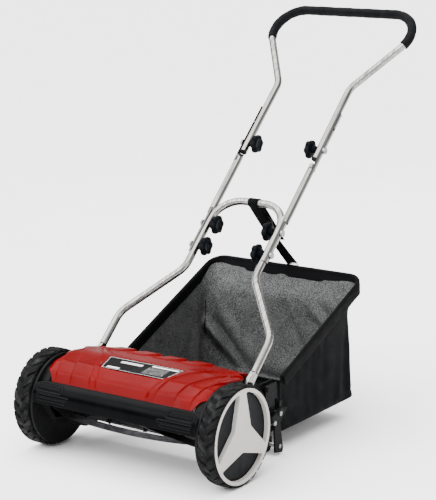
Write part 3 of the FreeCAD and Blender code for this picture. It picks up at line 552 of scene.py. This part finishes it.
guard_heading = headings(guard_line)
outward = np.stack([guard_heading[:, 1], -guard_heading[:, 0]], -1)
guard_x = np.linspace(guard_low.x, guard_high.x, 381)
x_grid, row_grid = np.meshgrid(guard_x, np.arange(len(guard_line)), indexing="ij")
guard_lift = guard_relief(x_grid, guard_line[row_grid, 1] - axle_z) - 0.0016
guard_points = np.stack([x_grid, guard_line[row_grid, 0] + outward[row_grid, 0] * guard_lift,
                         guard_line[row_grid, 1] + outward[row_grid, 1] * guard_lift], -1)
guard = piece("front_guard_moulding", grid_mesh("front_guard_moulding", guard_points), guard_black,
              "mower", "black_plastic", "front_guard")


def thicken(target, thickness, offset=-1.0):
    made = target.modifiers.new("thickness", "SOLIDIFY")
    made.thickness = thickness
    made.offset = offset
    return made


thicken(guard, 0.0026)

# ---- Top cover -----------------------------------------------------------------------------------
# The red glossy shell over the reel. It arches over the body and turns down at both ends, with three
# stepped bulges each side, a row of slanted pads along the back and a flat panel for the label.
shell_red = Finish("red_shell", Coat_Roughness=0.08, Coat_IOR=1.3, Specular_IOR_Level=0.02)
red_tone = shell_red.spread(shell_red.noise(9.0), 0.3, 0.7)
deep, bright = colour(0.085, 0.0, 0.0004), colour(0.105, 0.0, 0.0006)
# Sharp edges and crease lines are painted a brighter red: a painted highlight.
shell_red.paint(Base_Color=shell_red.mix(shell_red.edge_highlight_and_wear() * 0.3, shell_red.mix(red_tone, deep, bright),
                                         colour(0.17, 0.001, 0.0015)),
                Roughness=0.22 + shell_red.spread(shell_red.noise(70.0, 5.0), 0.4, 0.8) * 0.08,
                Coat_Weight=0.13 - shell_red.noise(120.0, 4.0) * 0.05)
shell_red.bump(shell_red.noise(260.0, 2.0), 0.00003)

cover_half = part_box("top_cover")[1].x
front_x, front_y, side_y = 0.184, -0.078, -0.051
cover_corners = [(0, y, axle_z + rise) for y, rise in
                 ((-0.080, 0.051), (-0.062, 0.0845), (-0.031, 0.103), (0.030, 0.112),
                  (0.090, 0.1075), (0.130, 0.1005), (0.130, 0.0845))]
cover_line = rounded(cover_corners, [0, 0.030, 0.040, 0.160, 0.300, 0.007, 0], pieces=10)
cover_line = resampled([(p.y, p.z) for p in cover_line], 0.0015)


def bulge_edge(base, y):
    """Distance from the middle of one stepped crease at each y."""
    back = y + 0.010
    return base + 0.45 * back + 2.0 * back ** 2


def cover_relief(x, y, end):
    """Height above the plain shell: three stepped bulges each side, four slanted pads along the back,
    a ridge down each front corner and a ledge on the front edge."""
    half = np.abs(x)
    relief = np.zeros_like(x)
    bulge_lift, pad_lift, ridge_lift, ledge_lift = 0.0034, 0.0048, 0.0013, 0.0009
    top = step(y, -0.078, -0.050) * (1 - step(y, 0.100, 0.122))
    edges = [bulge_edge(base, y) for base in (0.110, 0.163, 0.206)]
    for k, crease in enumerate(edges):
        inner = edges[k - 1] if k else crease - 0.045
        share = np.clip((half - inner) / (crease - inner), 0, 1)
        past = 1 - step(half, crease - 0.0016, crease + 0.0016)
        relief = relief + bulge_lift * share ** 1.6 * past * (half > inner) * top
    slant = x - 0.75 * (y - 0.086)
    for middle in (-0.152, -0.080, -0.008, 0.064):
        inside = (1 - step(np.abs(slant - middle), 0.0195, 0.0225)) * step(y, 0.082, 0.086)
        inside = inside * (1 - step(y, 0.1225, 0.1265))
        relief = relief + pad_lift * inside * (0.25 + 0.75 * np.clip((y - 0.083) / 0.036, 0, 1))
    spine = 0.101 - 0.50 * (-0.009 - y)
    ridge = np.abs(half - spine)
    front_only = (1 - step(y, -0.012, -0.004)) * step(y, -0.074, -0.066)
    relief = relief + ridge_lift * (1 - step(ridge, 0.0004, 0.0040)) * front_only
    ledge = (1 - step(end, 0.0085, 0.0098)) * step(half, 0.085, 0.1) * (1 - step(half, 0.178, 0.186))
    return relief + ledge_lift * ledge


def cover_points():
    """The shell's surface: its profile, cut shorter towards the ends, which are turned down."""
    end_radius, end_drop = 0.020, 0.0085
    x_row = np.linspace(-cover_half, cover_half, 297)
    lengths = np.concatenate([[0], np.cumsum(np.linalg.norm(np.diff(cover_line, axis=0), axis=1))])
    along = headings(cover_line)
    out_y, out_z = -along[:, 1], along[:, 0]
    rising = np.argmax(cover_line[:, 0] > 0.12)
    end_stop = np.interp(0.0835, cover_line[:rising, 0], lengths[:rising])
    shares = np.linspace(0, 1, len(cover_line))
    points = np.zeros((len(x_row), len(shares), 3))
    for i, x in enumerate(x_row):
        past = max(0.0, abs(x) - front_x)
        start_y = front_y - 0.002 + past * (side_y - front_y) / (cover_half - front_x)
        start = np.interp(start_y, cover_line[:rising, 0], lengths[:rising]) if past else 0.0
        narrow = float(step(np.array(abs(x)), 0.2025, 0.2050))
        stop = lengths[-1] + (end_stop - lengths[-1]) * narrow
        wanted = start + (stop - start) * shares
        y, z = np.interp(wanted, lengths, cover_line[:, 0]), np.interp(wanted, lengths, cover_line[:, 1])
        ny, nz = np.interp(wanted, lengths, out_y), np.interp(wanted, lengths, out_z)
        turn_down = max(0.0, abs(x) - (cover_half - end_radius)) / end_radius
        drop = end_drop * (1 - math.sqrt(max(0.0, 1 - turn_down ** 2)))
        lift = cover_relief(np.full_like(y, x), y, wanted - start) - drop - 0.0026
        points[i] = np.stack([np.full_like(y, x), y + ny * lift, z + nz * lift], -1)
    return points


panel_low, panel_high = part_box("badge_panel")
panel_widening = 0.016 / (panel_high.y - panel_low.y)
panel_gap = 0.0012
shell_points = cover_points()
shell_y, from_middle = shell_points[..., 1], np.abs(shell_points[..., 0])
half_panel = 0.0875 + (shell_y - panel_low.y) * panel_widening
in_panel = ((from_middle < half_panel + panel_gap)
            & (shell_y > panel_low.y - panel_gap) & (shell_y < panel_high.y + panel_gap))
shell_points[..., 2] = np.where(in_panel, axle_z + 0.103 + (shell_y + 0.031) * 9 / 61 - 0.0016,
                                shell_points[..., 2] + 0.0026 * step(from_middle, 0.19, 0.12))
shell = piece("red_top_shell", grid_mesh("red_top_shell", shell_points), shell_red.material,
              "mower", "red_shell", "top_cover")
thicken(shell, 0.0024)

# ---- Label ---------------------------------------------------------------------------------------
# A thin black label in the panel: fine pale border, a slanted split with a paler lower right half,
# and plain pale bars where a maker's words would be.
label = Finish("label_print", Specular_IOR_Level=0.05)
label_x, label_y = label.along(0), label.along(1)
edge_x = 0.087 + (label_y - panel_low.y) * panel_widening
inset = edge_x - label.node("ShaderNodeMath", {"operation": "ABSOLUTE"}, {0: label_x})


def band(value, low, high):
    return (value > low) * (value < high)


rows = band(label_y, panel_low.y + 0.0016, panel_high.y - 0.0016) * (inset > 0.0016)
rows_inner = band(label_y, panel_low.y + 0.0023, panel_high.y - 0.0023) * (inset > 0.0023)
border = rows * (1 - rows_inner)
split = label_x - 0.9 * (label_y + 0.002)
right_half = (split > 0.004) * rows_inner
streak = band(split, 0.000, 0.004) * rows_inner
bar_upper = band(label_y, 0.0160, 0.0215) * band(label_x, 0.022, 0.094)
bar_lower = band(label_y, -0.0235, -0.0165) * band(label_x, -0.076, -0.042)
bar_name = band(label_y, 0.0075, 0.0165) * band(label_x, -0.060, 0.000)
speck = label.spread(label.noise(420.0, 1.0, (1, 2.2, 1)), 0.52, 0.60)
small_print = band(label_y, -0.020, 0.012) * band(label_x, 0.018, 0.074) * speck
printed = colour(0.0012, 0.0012, 0.0014)
for share, ink in ((right_half, colour(0.0036, 0.0036, 0.0040)),
                   (small_print * 0.5, colour(0.42, 0.42, 0.42)),
                   (bar_name * 0.85, colour(0.62, 0.62, 0.61)), (streak, colour(0.004, 0.004, 0.004)),
                   (border + bar_upper + bar_lower, colour(0.66, 0.66, 0.65))):
    printed = label.mix(share, printed, ink)
label.paint(Base_Color=printed, Roughness=0.28 + label.noise(80.0) * 0.12)
label.bump(label.noise(500.0), 0.00002)
coat(label.material, "badge_panel")

# ---- Handle tubes --------------------------------------------------------------------------------
# Nickel-bright drawn steel tube in four lengths, bolted together: an arch, two pressed-end middle
# tubes and the upper bow. Drawing marks run along the handle.
handle_tilt = math.radians(44)
tube_steel = metal("tube_steel", colour(0.29, 0.285, 0.275), 0.22, (1, 1, 0.03),
                   (math.pi / 2 - handle_tilt, 0, 0))
coat(tube_steel, "lower_handle", "mid_tube_left", "mid_tube_right", "upper_handle")
coat(black_plastic, "upper_tube_plugs")

# ---- Foam grip -----------------------------------------------------------------------------------
# A closed-cell foam sleeve pushed over the bow of the upper tube, with rounded ends, slightly
# squeezed wrinkles on the inside of both bends and a fine pebbled skin.
foam_skin = Finish("foam_skin", Specular_IOR_Level=0.07)
cells = foam_skin.node("ShaderNodeTexVoronoi", None, {"Vector": foam_skin.place(), "Scale": 900.0})
foam_skin.paint(Base_Color=foam_skin.mix(foam_skin.spread(foam_skin.noise(70.0, 4.0), 0.35, 0.7),
                                         colour(0.0009, 0.0010, 0.0015), colour(0.0026, 0.0028, 0.0036)),
                Roughness=0.66 + foam_skin.noise(150.0) * 0.15)
foam_skin.bump(cells, 0.00025, 0.6)

upper_end = Vector((0, 0.565, axle_z + 0.5105))
up_handle = Vector((0, math.cos(handle_tilt), math.sin(handle_tilt)))
off_handle = Vector((0, -math.sin(handle_tilt), math.cos(handle_tilt)))


def on_handle(x, along, off=0.0):
    return upper_end + Vector((x, 0, 0)) + up_handle * along + off_handle * off


def swept(name, route, section_at):
    """Mesh along a route; section_at(distance, length) gives the cross section as (side, off) points.
    The sections stand square to the route, upright in the handle's plane."""
    route = [Vector(p) for p in route]
    length = sum((b - a).length for a, b in zip(route, route[1:]))
    rings, travelled = [], 0.0
    for i, point in enumerate(route):
        if i:
            travelled += (point - route[i - 1]).length
        ahead = (route[min(i + 1, len(route) - 1)] - route[max(i - 1, 0)]).normalized()
        side = ahead.cross(off_handle).normalized()
        up = side.cross(ahead).normalized()
        rings.append([tuple(point + side * u + up * v) for u, v in section_at(travelled, length)])
    return grid_mesh(name, np.array(rings), close_across=True)


def capped(mesh):
    """Closes the two open ends of a swept mesh."""
    made = bmesh.new()
    made.from_mesh(mesh)
    bmesh.ops.holes_fill(made, edges=[e for e in made.edges if e.is_boundary], sides=0)
    bmesh.ops.recalc_face_normals(made, faces=made.faces)
    made.to_mesh(mesh)
    made.free()
    return mesh


upper_leg, upper_bend, grip_along = 0.1037, 0.221, 0.467
flare = math.radians(31.2)
grip_corner = upper_leg + (grip_along - upper_bend) * math.tan(flare)
grip_route = rounded([on_handle(upper_leg, upper_bend), on_handle(grip_corner, grip_along),
                      on_handle(-grip_corner, grip_along), on_handle(-upper_leg, upper_bend)],
                     [0, 0.070, 0.070, 0], pieces=28)
grip_line = resampled(grip_route[1:-1], 0.0035)[2:-2]
foam_radius, foam_facets = 0.0118, 32


def foam_section(distance, length):
    """Round section of the sleeve, uneven along its length and wrinkled inside the bends."""
    from_end = min(distance, length - distance)
    rounding = 0.0022 * (1 - min(1.0, from_end / 0.0035)) ** 2
    swell = 0.00025 * math.sin(distance * 95) + 0.00018 * math.sin(distance * 231 + 1)
    in_bend = max(0.0, 1 - abs(from_end - 0.060) / 0.055)
    made = []
    for k in range(foam_facets):
        angle = math.tau * k / foam_facets
        wrinkle = 0.0003 * in_bend * max(0.0, math.cos(angle)) * math.sin(distance * 1100)
        radius = foam_radius - rounding + swell + wrinkle
        made.append((radius * math.cos(angle), radius * math.sin(angle)))
    return made


grip = piece("foam_sleeve", capped(swept("foam_sleeve", resampled(grip_line, 0.0012), foam_section)),
             foam_skin.material, "handle_top", "foam", "foam_grip")

# ---- Clamp bolts and star knobs --------------------------------------------------------------------
# Each tube joint is pulled up by a zinc plated bolt and a six-lobed knob in blue-black plastic on the
# inner side, with a domed face, fluted rim and a round neck against the tube.
coat(zinc, "clamp_bolts")
coat(black_paint, "frame_screws")
knob_black = moulded("knob_plastic", colour(0.0008, 0.0014, 0.0023), 0.4, grain=0.0001,
                     Specular_IOR_Level=0.02)
knob_profile = ((0.0000, 0.0082, 0.0), (0.0004, 0.0090, 0.0), (0.0078, 0.0094, 0.0), (0.0092, 0.0112, 0.2),
                (0.0101, 0.0160, 0.7), (0.0106, 0.0200, 1.0), (0.0120, 0.0219, 1.0), (0.0145, 0.0225, 1.0),
                (0.0185, 0.0225, 1.0), (0.0212, 0.0219, 1.0), (0.0230, 0.0204, 1.0), (0.0241, 0.0175, 0.9),
                (0.0247, 0.0140, 0.6), (0.0246, 0.0110, 0.3), (0.0237, 0.0098, 0.1), (0.0235, 0.0060, 0.0),
                (0.0236, 0.0008, 0.0))


def knob_mesh(sign, centre, start_x):
    """The profile turned about the bolt, with flutes where it is lobed."""
    lobes, facets = 6, 96
    turns = np.arange(facets) / facets * math.tau
    flute = (0.5 - 0.5 * np.cos(lobes * turns)) ** 1.3
    points = np.zeros((facets, len(knob_profile), 3))
    for j, (depth, radius, lobed) in enumerate(knob_profile):
        r = radius * (1 + 0.035 * lobed) * (1 - 0.15 * lobed * flute)
        points[:, j] = np.stack([np.full(facets, start_x - sign * depth), centre.y + r * np.cos(turns),
                                 centre.z + r * np.sin(turns)], -1)
    return capped(grid_mesh("star_knob", points, close_around=True, flip=sign > 0))


for level in ("upper", "middle", "lower"):
    for side, sign in sides:
        node = "knob_" + level + "_" + side
        low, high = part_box(node)
        outer = high.x if sign > 0 else low.x
        piece("star_" + node, knob_mesh(sign, (low + high) / 2, outer), knob_black, node,
              "knob_plastic", node)

# ---- Rear roller, arms and brackets ----------------------------------------------------------------
# Pressed black brackets behind the wheels carry slotted arms and a grooved plastic roller on a steel
# axle; bright screws hold the arms at the chosen height.
coat(black_plastic, "rear_roller", *both("roller_bracket_", "roller_arm_"))
coat(zinc, "roller_axle", "carriage_screws")

# ---- Grass bag ---------------------------------------------------------------------------------------
# A cut and sewn bag of coated mesh cloth, open at the front and top. It hangs from a round wire that
# runs up from the brackets and round the rim, in a wide black hem, with bound seams at its corners.
coat(black_paint, "bag_wire")
bag_half, bag_front, floor_z = 0.2175, 0.240, axle_z - 0.0615
rim_front_z, rim_rear_z, rim_rear_y = axle_z + 0.0575, axle_z + 0.2225, 0.606
waist_y, waist_share, rear_foot_y = 0.560, 0.20, 0.566
roller_rise, corner_turn = 0.034, 0.036
columns, wall_rows, floor_columns = 181, 41, 31
cloth_thickness = 0.0016
rim_slope = (rim_rear_z - rim_front_z) / (rim_rear_y - bag_front)


def weave(name, dark, light, hole, pitch, bump_height):
    """Woven cloth: two crossed sets of round threads, with dark gaps between them."""
    finish = Finish(name, Specular_IOR_Level=0.05)
    turns = math.tau / pitch
    thread = []
    for stretch in ((0.83, 0.83, 0), (0, 0.45, 0.89)):
        across = finish.node("ShaderNodeVectorMath", {"operation": "DOT_PRODUCT"},
                             {0: finish.place(), 1: stretch}, output=1)
        wobble = across + (finish.noise(30.0) - 0.5) * (pitch * 0.5)
        wave = finish.node("ShaderNodeMath", {"operation": "SINE"}, {0: wobble * turns})
        thread.append(wave * 0.5 + 0.5)
    over = finish.node("ShaderNodeMath", {"operation": "MAXIMUM"}, {0: thread[0], 1: thread[1]})
    patchy = finish.spread(finish.noise(26.0, 5.0), 0.3, 0.72)
    fleck = finish.spread(finish.noise(520.0, 3.0), 0.40, 0.64)
    threads = finish.mix(patchy * 0.18 + fleck * 0.82, dark, light)
    cloth = finish.mix(finish.spread(over, 0.25, 0.8), hole, threads)
    finish.paint(Base_Color=cloth, Roughness=0.72 + patchy * 0.12)
    finish.bump(over + fleck * 0.4, bump_height)
    return finish.material


mesh_cloth = weave("bag_mesh_cloth", colour(0.020, 0.0205, 0.021), colour(0.165, 0.168, 0.167),
                   colour(0.012, 0.012, 0.013), 0.0026, 0.0004)
coated_cloth = weave("bag_coated_cloth", colour(0.0010, 0.0012, 0.0017), colour(0.0024, 0.0027, 0.0034),
                     colour(0.0006, 0.0007, 0.0010), 0.0016, 0.0002)


def wall_route(share_down):
    """The U of the two sides and the back at one height: 0 at the rim, 1 at the floor's edge."""
    drawn = math.sin(min(1.0, share_down / waist_share) * math.pi / 2)
    back = rim_rear_y + (waist_y - rim_rear_y) * drawn
    back += (rear_foot_y - waist_y) * max(0.0, (share_down - waist_share) / (1 - waist_share))
    turn = corner_turn * (1 - 0.72 * share_down)
    bow = 0.004 * math.sin(math.pi * share_down)
    corners = [(-bag_half, bag_front, 0), (-bag_half - bow, (bag_front + back) / 2, 0), (-bag_half, back, 0),
               (0, back + bow, 0), (bag_half, back, 0), (bag_half + bow, (bag_front + back) / 2, 0),
               (bag_half, bag_front, 0)]
    return resampled(rounded(corners, [0, 0.9, turn, 1.2, turn, 0.9, 0], pieces=10), 0.0005)


def wall_points():
    """Rows run round the bag, down the walls from the rim to the floor's edge."""
    rows = []
    for i in range(wall_rows):
        down = i / (wall_rows - 1)
        route = wall_route(down)
        picked = route[np.linspace(0, len(route) - 1, columns).astype(int)]
        top = rim_front_z + (picked[:, 1] - bag_front) * rim_slope
        foot = floor_z + 0.003 * np.sin(np.linspace(0, math.pi, columns)) ** 2
        rows.append(np.stack([picked[:, 0], picked[:, 1], top + (foot - top) * down], -1))
    return np.array(rows)


def floor_points(edge):
    """The floor panel, sewn to the foot of the walls and raised at the front to clear the roller."""
    half = len(edge) // 2
    rows = []
    for i in range(half + 1):
        left, right = edge[i], edge[-1 - i]
        x, y, z = (np.linspace(left[k], right[k], floor_columns) for k in range(3))
        inward = step(np.abs(np.linspace(-1, 1, floor_columns)), 1.0, 0.86)
        sag = 0.008 * math.sin(math.pi * i / half) * inward
        rise = roller_rise * (1 - step(y, bag_front + 0.014, bag_front + 0.060)) * inward
        rows.append(np.stack([x, y, z + rise - sag], -1))
    return np.array(rows)


def crease(points, start, stop, depth, width, push):
    """Presses a fold into cloth near the line from start to stop, towards push."""
    a, b = np.array(start), np.array(stop)
    run = b - a
    share = np.clip(((points - a) @ run) / (run @ run), 0, 1)
    gap = np.linalg.norm(points - (a + share[..., None] * run), axis=-1)
    fade = np.sin(np.clip(share, 0.02, 0.98) * math.pi) ** 0.5
    fold = (np.exp(-(gap / width) ** 2) - 0.55 * np.exp(-((gap - 1.9 * width) / width) ** 2)) * fade
    below_hem = step(np.arange(len(points)), 3.0, 7.0)[:, None]
    return points + (depth * fold * below_hem)[..., None] * np.array(push)


bag_shape = wall_points()
pinned = np.ones(bag_shape.shape[:2])
pinned[2:-1, 2:-2] = 0.0
bag = piece("bag_walls", grid_mesh("bag_walls", bag_shape, flip=True), coated_cloth, "grass_bag", "bag_cloth",
            "bag_fabric")


def relax(target, weights, frames, growth, cap):
    """Lets cloth hang from its pinned points, then holds how far any point may have moved."""
    rest = np.array([v.co for v in target.data.vertices])
    group = target.vertex_groups.new(name="pinned")
    for index, weight in enumerate(weights.reshape(-1)):
        group.add([index], float(weight), "REPLACE")
    cloth = target.modifiers.new("cloth", "CLOTH")
    for name, value in (("quality", 6), ("mass", 0.25), ("tension_stiffness", 18),
                        ("compression_stiffness", 14), ("shear_stiffness", 6), ("bending_stiffness", 4.0),
                        ("vertex_group_mass", "pinned"), ("pin_stiffness", 1.5), ("shrink_min", -growth)):
        setattr(cloth.settings, name, value)
    cloth.collision_settings.use_collision = False
    cloth.point_cache.frame_start = 1
    cloth.point_cache.frame_end = frames
    scene = bpy.context.scene
    for number in range(1, frames + 1):
        scene.frame_set(number)
    shown = target.evaluated_get(bpy.context.evaluated_depsgraph_get())
    moved = np.array([v.co for v in shown.data.vertices])
    target.modifiers.remove(cloth)
    target.vertex_groups.remove(group)
    scene.frame_set(1)
    change = moved - rest
    size = np.linalg.norm(change, axis=1)[:, None]
    change *= np.minimum(1.0, cap / np.maximum(size, 1e-9))
    target.data.vertices.foreach_set("co", (rest + change).ravel())
    target.data.update()


relax(bag, pinned, 26, 0.004, 0.006)
cloth_points = np.array([v.co for v in bag.data.vertices]).reshape(bag_shape.shape)
folds = (((-0.206, 0.588, 0.290), (-0.214, 0.556, 0.150), 0.008, (0.6, -0.8, 0)),
         ((-0.216, 0.556, 0.180), (-0.105, 0.562, 0.058), 0.024, (0.4, -1, 0.3)),
         ((0.030, 0.575, 0.280), (0.085, 0.56, 0.150), 0.011, (0, -1, 0)),
         ((0.095, 0.575, 0.255), (0.190, 0.56, 0.175), 0.011, (0, -1, 0)))
fold_width = 0.012
for start, stop, depth, push in folds:
    cloth_points = crease(cloth_points, start, stop, depth, fold_width, push)
bag.data.vertices.foreach_set("co", cloth_points.reshape(-1))
bag.data.update()
bag_smooth = bag.modifiers.new("smooth", "SUBSURF")
bag_smooth.levels = bag_smooth.render_levels = 1


def lined(target, lining):
    """Gives a cloth its thickness, with its second face in another finish."""
    target.data.materials.append(lining)
    thicken(target, cloth_thickness, 0.0).material_offset = 1


lined(bag, mesh_cloth)
panel = piece("bag_floor", grid_mesh("bag_floor", floor_points(cloth_points[-1])), mesh_cloth,
              "grass_bag", "bag_cloth")
lined(panel, coated_cloth)

# Seam binding, a narrow black tape folded over the two rear corners and the floor's edge
webbing = weave("black_webbing", colour(0.0010, 0.0011, 0.0013), colour(0.0026, 0.0028, 0.0032),
                colour(0.0006, 0.0007, 0.0008), 0.0022, 0.0003)


def tape(name, route, width, thickness, normals):
    """Flat strip along a route, standing proud along the given normals."""
    across = unit(np.cross(headings(route), normals))
    section = ((-0.5, 0.0), (-0.5, 1.0), (-0.2, 1.35), (0.2, 1.35), (0.5, 1.0), (0.5, 0.0))
    rings = [[route[i] + across[i] * u * width + normals[i] * v * thickness for u, v in section]
             for i in range(len(route))]
    return capped(grid_mesh(name, np.array(rings), close_across=True))


below_waist = bag_shape[10]
for side, sign in sides:
    column = np.argmin(np.abs(below_waist[:, 0] - sign * bag_half) + np.abs(below_waist[:, 1] - 0.57))
    line = resampled(cloth_points[3:, column], 0.004)
    normals = np.tile(np.array([sign * 0.7071, 0.7071, 0]), (len(line), 1))
    piece("rear_seam_" + side, tape("rear_seam", line, 0.007, 0.0016, normals), webbing,
          "grass_bag", "webbing")
foot = resampled(cloth_points[-1], 0.004)
away = foot - foot.mean(axis=0)
away[:, 2] = -0.12
piece("floor_seam", tape("floor_seam", foot, 0.006, 0.0015, unit(away)), webbing, "grass_bag", "webbing")

# Hem: a wide band of black cloth folded over the wire and stitched through both sides
hem_cloth = weave("hem_cloth", colour(0.0012, 0.0013, 0.0016), colour(0.0032, 0.0034, 0.0039),
                  colour(0.0007, 0.0008, 0.0010), 0.0013, 0.0003)
hem_width, hem_room = 0.024, 0.0043
wire_lift = 0.004
rim_run = Vector((0, rim_rear_y - bag_front, rim_rear_z - rim_front_z)).normalized()
rim_up = Vector((0, -rim_run.z, rim_run.y))
wire_half = bag_half + 0.0005


def on_rim(x, along):
    return Vector((x, bag_front, rim_front_z)) + rim_run * along + rim_up * wire_lift


rim_length = math.hypot(rim_rear_y - bag_front, rim_rear_z - rim_front_z) + 0.002
hem_route = rounded([on_rim(-wire_half, 0.006), on_rim(-wire_half, rim_length), on_rim(wire_half, rim_length),
                     on_rim(wire_half, 0.006)], [0, 0.038, 0.038, 0], pieces=20)
hem_line = resampled(hem_route, 0.003)


def hem_mesh():
    """The folded band: down one face, over the wire and down the other, a little rippled."""
    up, run = np.array(rim_up), np.array(rim_run)
    out = unit(np.cross(headings(hem_line), up))
    down_back = np.array([0, -0.35, -0.94])
    row_gap, spread = 0.0042, 0.0003
    rings = []
    for i, point in enumerate(hem_line):
        across_back = abs(out[i] @ run)
        down = -up * (1 - across_back) + down_back * across_back
        down /= np.linalg.norm(down)
        ripple = 0.0003 * math.sin(i * 0.31) + 0.0004 * math.sin(i * 0.083 + 1.0)
        ring = [point + down * (hem_width - k * row_gap) + out[i] * (0.0030 + spread * k + ripple)
                for k in range(5)]
        ring += [point + out[i] * hem_room * math.cos(angle) + up * hem_room * 0.85 * math.sin(angle)
                 for angle in np.linspace(0, math.pi, 9)]
        ring += [point + down * (hem_width - k * row_gap) - out[i] * (0.0034 + spread * k - ripple)
                 for k in range(4, -1, -1)]
        rings.append(ring)
    return grid_mesh("bag_hem", np.array(rings), flip=True)


hem = piece("bag_hem", hem_mesh(), hem_cloth, "grass_bag", "bag_cloth")
thicken(hem, 0.0009)

# ---- Strap, slider and ring ------------------------------------------------------------------------
# A woven strap looped over the arch and let down to a ring on the back hem, with a black slider that
# takes up its spare length, so that the lower part is double.
arch_centre = on_handle(0, -0.146)
strap_foot = Vector((0.012, rim_rear_y + 0.0075, rim_rear_z + 0.0105))
strap_width, strap_thickness = 0.028, 0.0019
strap_down = (strap_foot - arch_centre).normalized()
strap_side = Vector((1, 0, 0))
strap_front = strap_down.cross(strap_side).normalized()
loop_radius, loop_reach = 0.0102, 115
loop_angles = [math.radians(-loop_reach + k * 2 * loop_reach / 24) for k in range(25)]
loop = [arch_centre + (-strap_down * math.cos(a) + strap_front * math.sin(a)) * loop_radius
        for a in loop_angles]


def ribbon(name, route, width_at, twist_at, thickness):
    """Flat band along a route; it may grow narrower and twist on the way."""
    rings = []
    count = len(route)
    for i, point in enumerate(route):
        share = i / (count - 1)
        ahead = (route[min(i + 1, count - 1)] - route[max(i - 1, 0)]).normalized()
        side = Vector((math.cos(twist_at(share)), math.sin(twist_at(share)), 0))
        side = (side - ahead * side.dot(ahead)).normalized()
        up = side.cross(ahead)
        half = width_at(share) / 2
        section = ((-1, -0.5), (-0.96, 0.5), (-0.5, 0.62), (0, 0.55), (0.5, 0.62), (0.96, 0.5), (1, -0.5),
                   (0.5, -0.42), (0, -0.5), (-0.5, -0.42))
        rings.append([tuple(point + side * (u * half) + up * (v * thickness)) for u, v in section])
    return capped(grid_mesh(name, np.array(rings), close_across=True))


def hung_line(start, sag):
    """From the loop down to the ring, a little bowed."""
    return [start.lerp(strap_foot, k / 60) + strap_front * sag * math.sin(math.pi * k / 60)
            for k in range(61)]


strap_line = loop + hung_line(loop[-1], 0.0035)[1:]
tail_line = hung_line(loop[0], -0.0022)[:38]
web_length = sum((b - a).length for a, b in zip(strap_line, strap_line[1:]))
tail_length = (tail_line[-1] - tail_line[0]).length
for name, line, length, width_at, twist_at, replaced in (
        ("bag_strap_web", strap_line, web_length, lambda s: strap_width * (1 - 0.10 * math.sin(math.pi * s)),
         lambda s: 0.32 * s * s, ["bag_strap"]),
        ("bag_strap_tail", tail_line, tail_length, lambda s: strap_width * 0.98, lambda s: 0.1 * s, [])):
    strap = piece(name, ribbon(name, line, width_at, twist_at, strap_thickness), webbing, None, "webbing",
                  *replaced)
    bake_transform(strap)

slider_black = moulded("slider_plastic", colour(0.0012, 0.0013, 0.0015), 0.32, Specular_IOR_Level=0.06)
slider_centre = arch_centre + strap_down * 0.062
slider_half = 0.0165


def bar_section(radius):
    return [(u, v) for u, v, flat in circle(radius, 12)]


def frame_ring(name, centre, side, up, half_side, half_up, corner, bar_radius):
    """Closed rounded loop of round bar."""
    corners = [centre + side * (i * half_side) + up * (j * half_up)
               for i, j in ((-1, -1), (1, -1), (1, 1), (-1, 1))]
    route = rounded(corners, [corner] * 4, closed=True, pieces=6)
    normal = side.cross(up).normalized()
    rings = []
    for i, point in enumerate(route):
        ahead = (route[(i + 1) % len(route)] - route[i - 1]).normalized()
        out = ahead.cross(normal)
        rings.append([tuple(point + out * u + normal * v) for u, v in bar_section(bar_radius)])
    return grid_mesh(name, np.array(rings), close_around=True, close_across=True)


piece("strap_slider", frame_ring("strap_slider", slider_centre, strap_side, strap_down, slider_half, 0.0085,
                                 0.003, 0.0022), slider_black, "mower", "black_plastic", "strap_buckle")
middle_bar = [slider_centre + strap_side * (slider_half * i) + strap_front * lift
              for i, lift in ((-1, 0.002), (0, 0.0026), (1, 0.002))]
bar_rings = [[tuple(p + strap_down * u + strap_front * v) for u, v in bar_section(0.0018)]
             for p in middle_bar]
piece("slider_bar", capped(grid_mesh("slider_bar", np.array(bar_rings), close_across=True)), slider_black,
      "mower", "black_plastic")
pale_plastic = moulded("ring_plastic", colour(0.62, 0.62, 0.60), 0.3, shift=0.05)
ring_place = strap_foot + Vector((0, 0, -0.001))
piece("strap_ring", frame_ring("strap_ring", ring_place, strap_side, strap_down, 0.0150, 0.0042,
                               0.0028, 0.0016),
      pale_plastic, "grass_bag", "webbing")
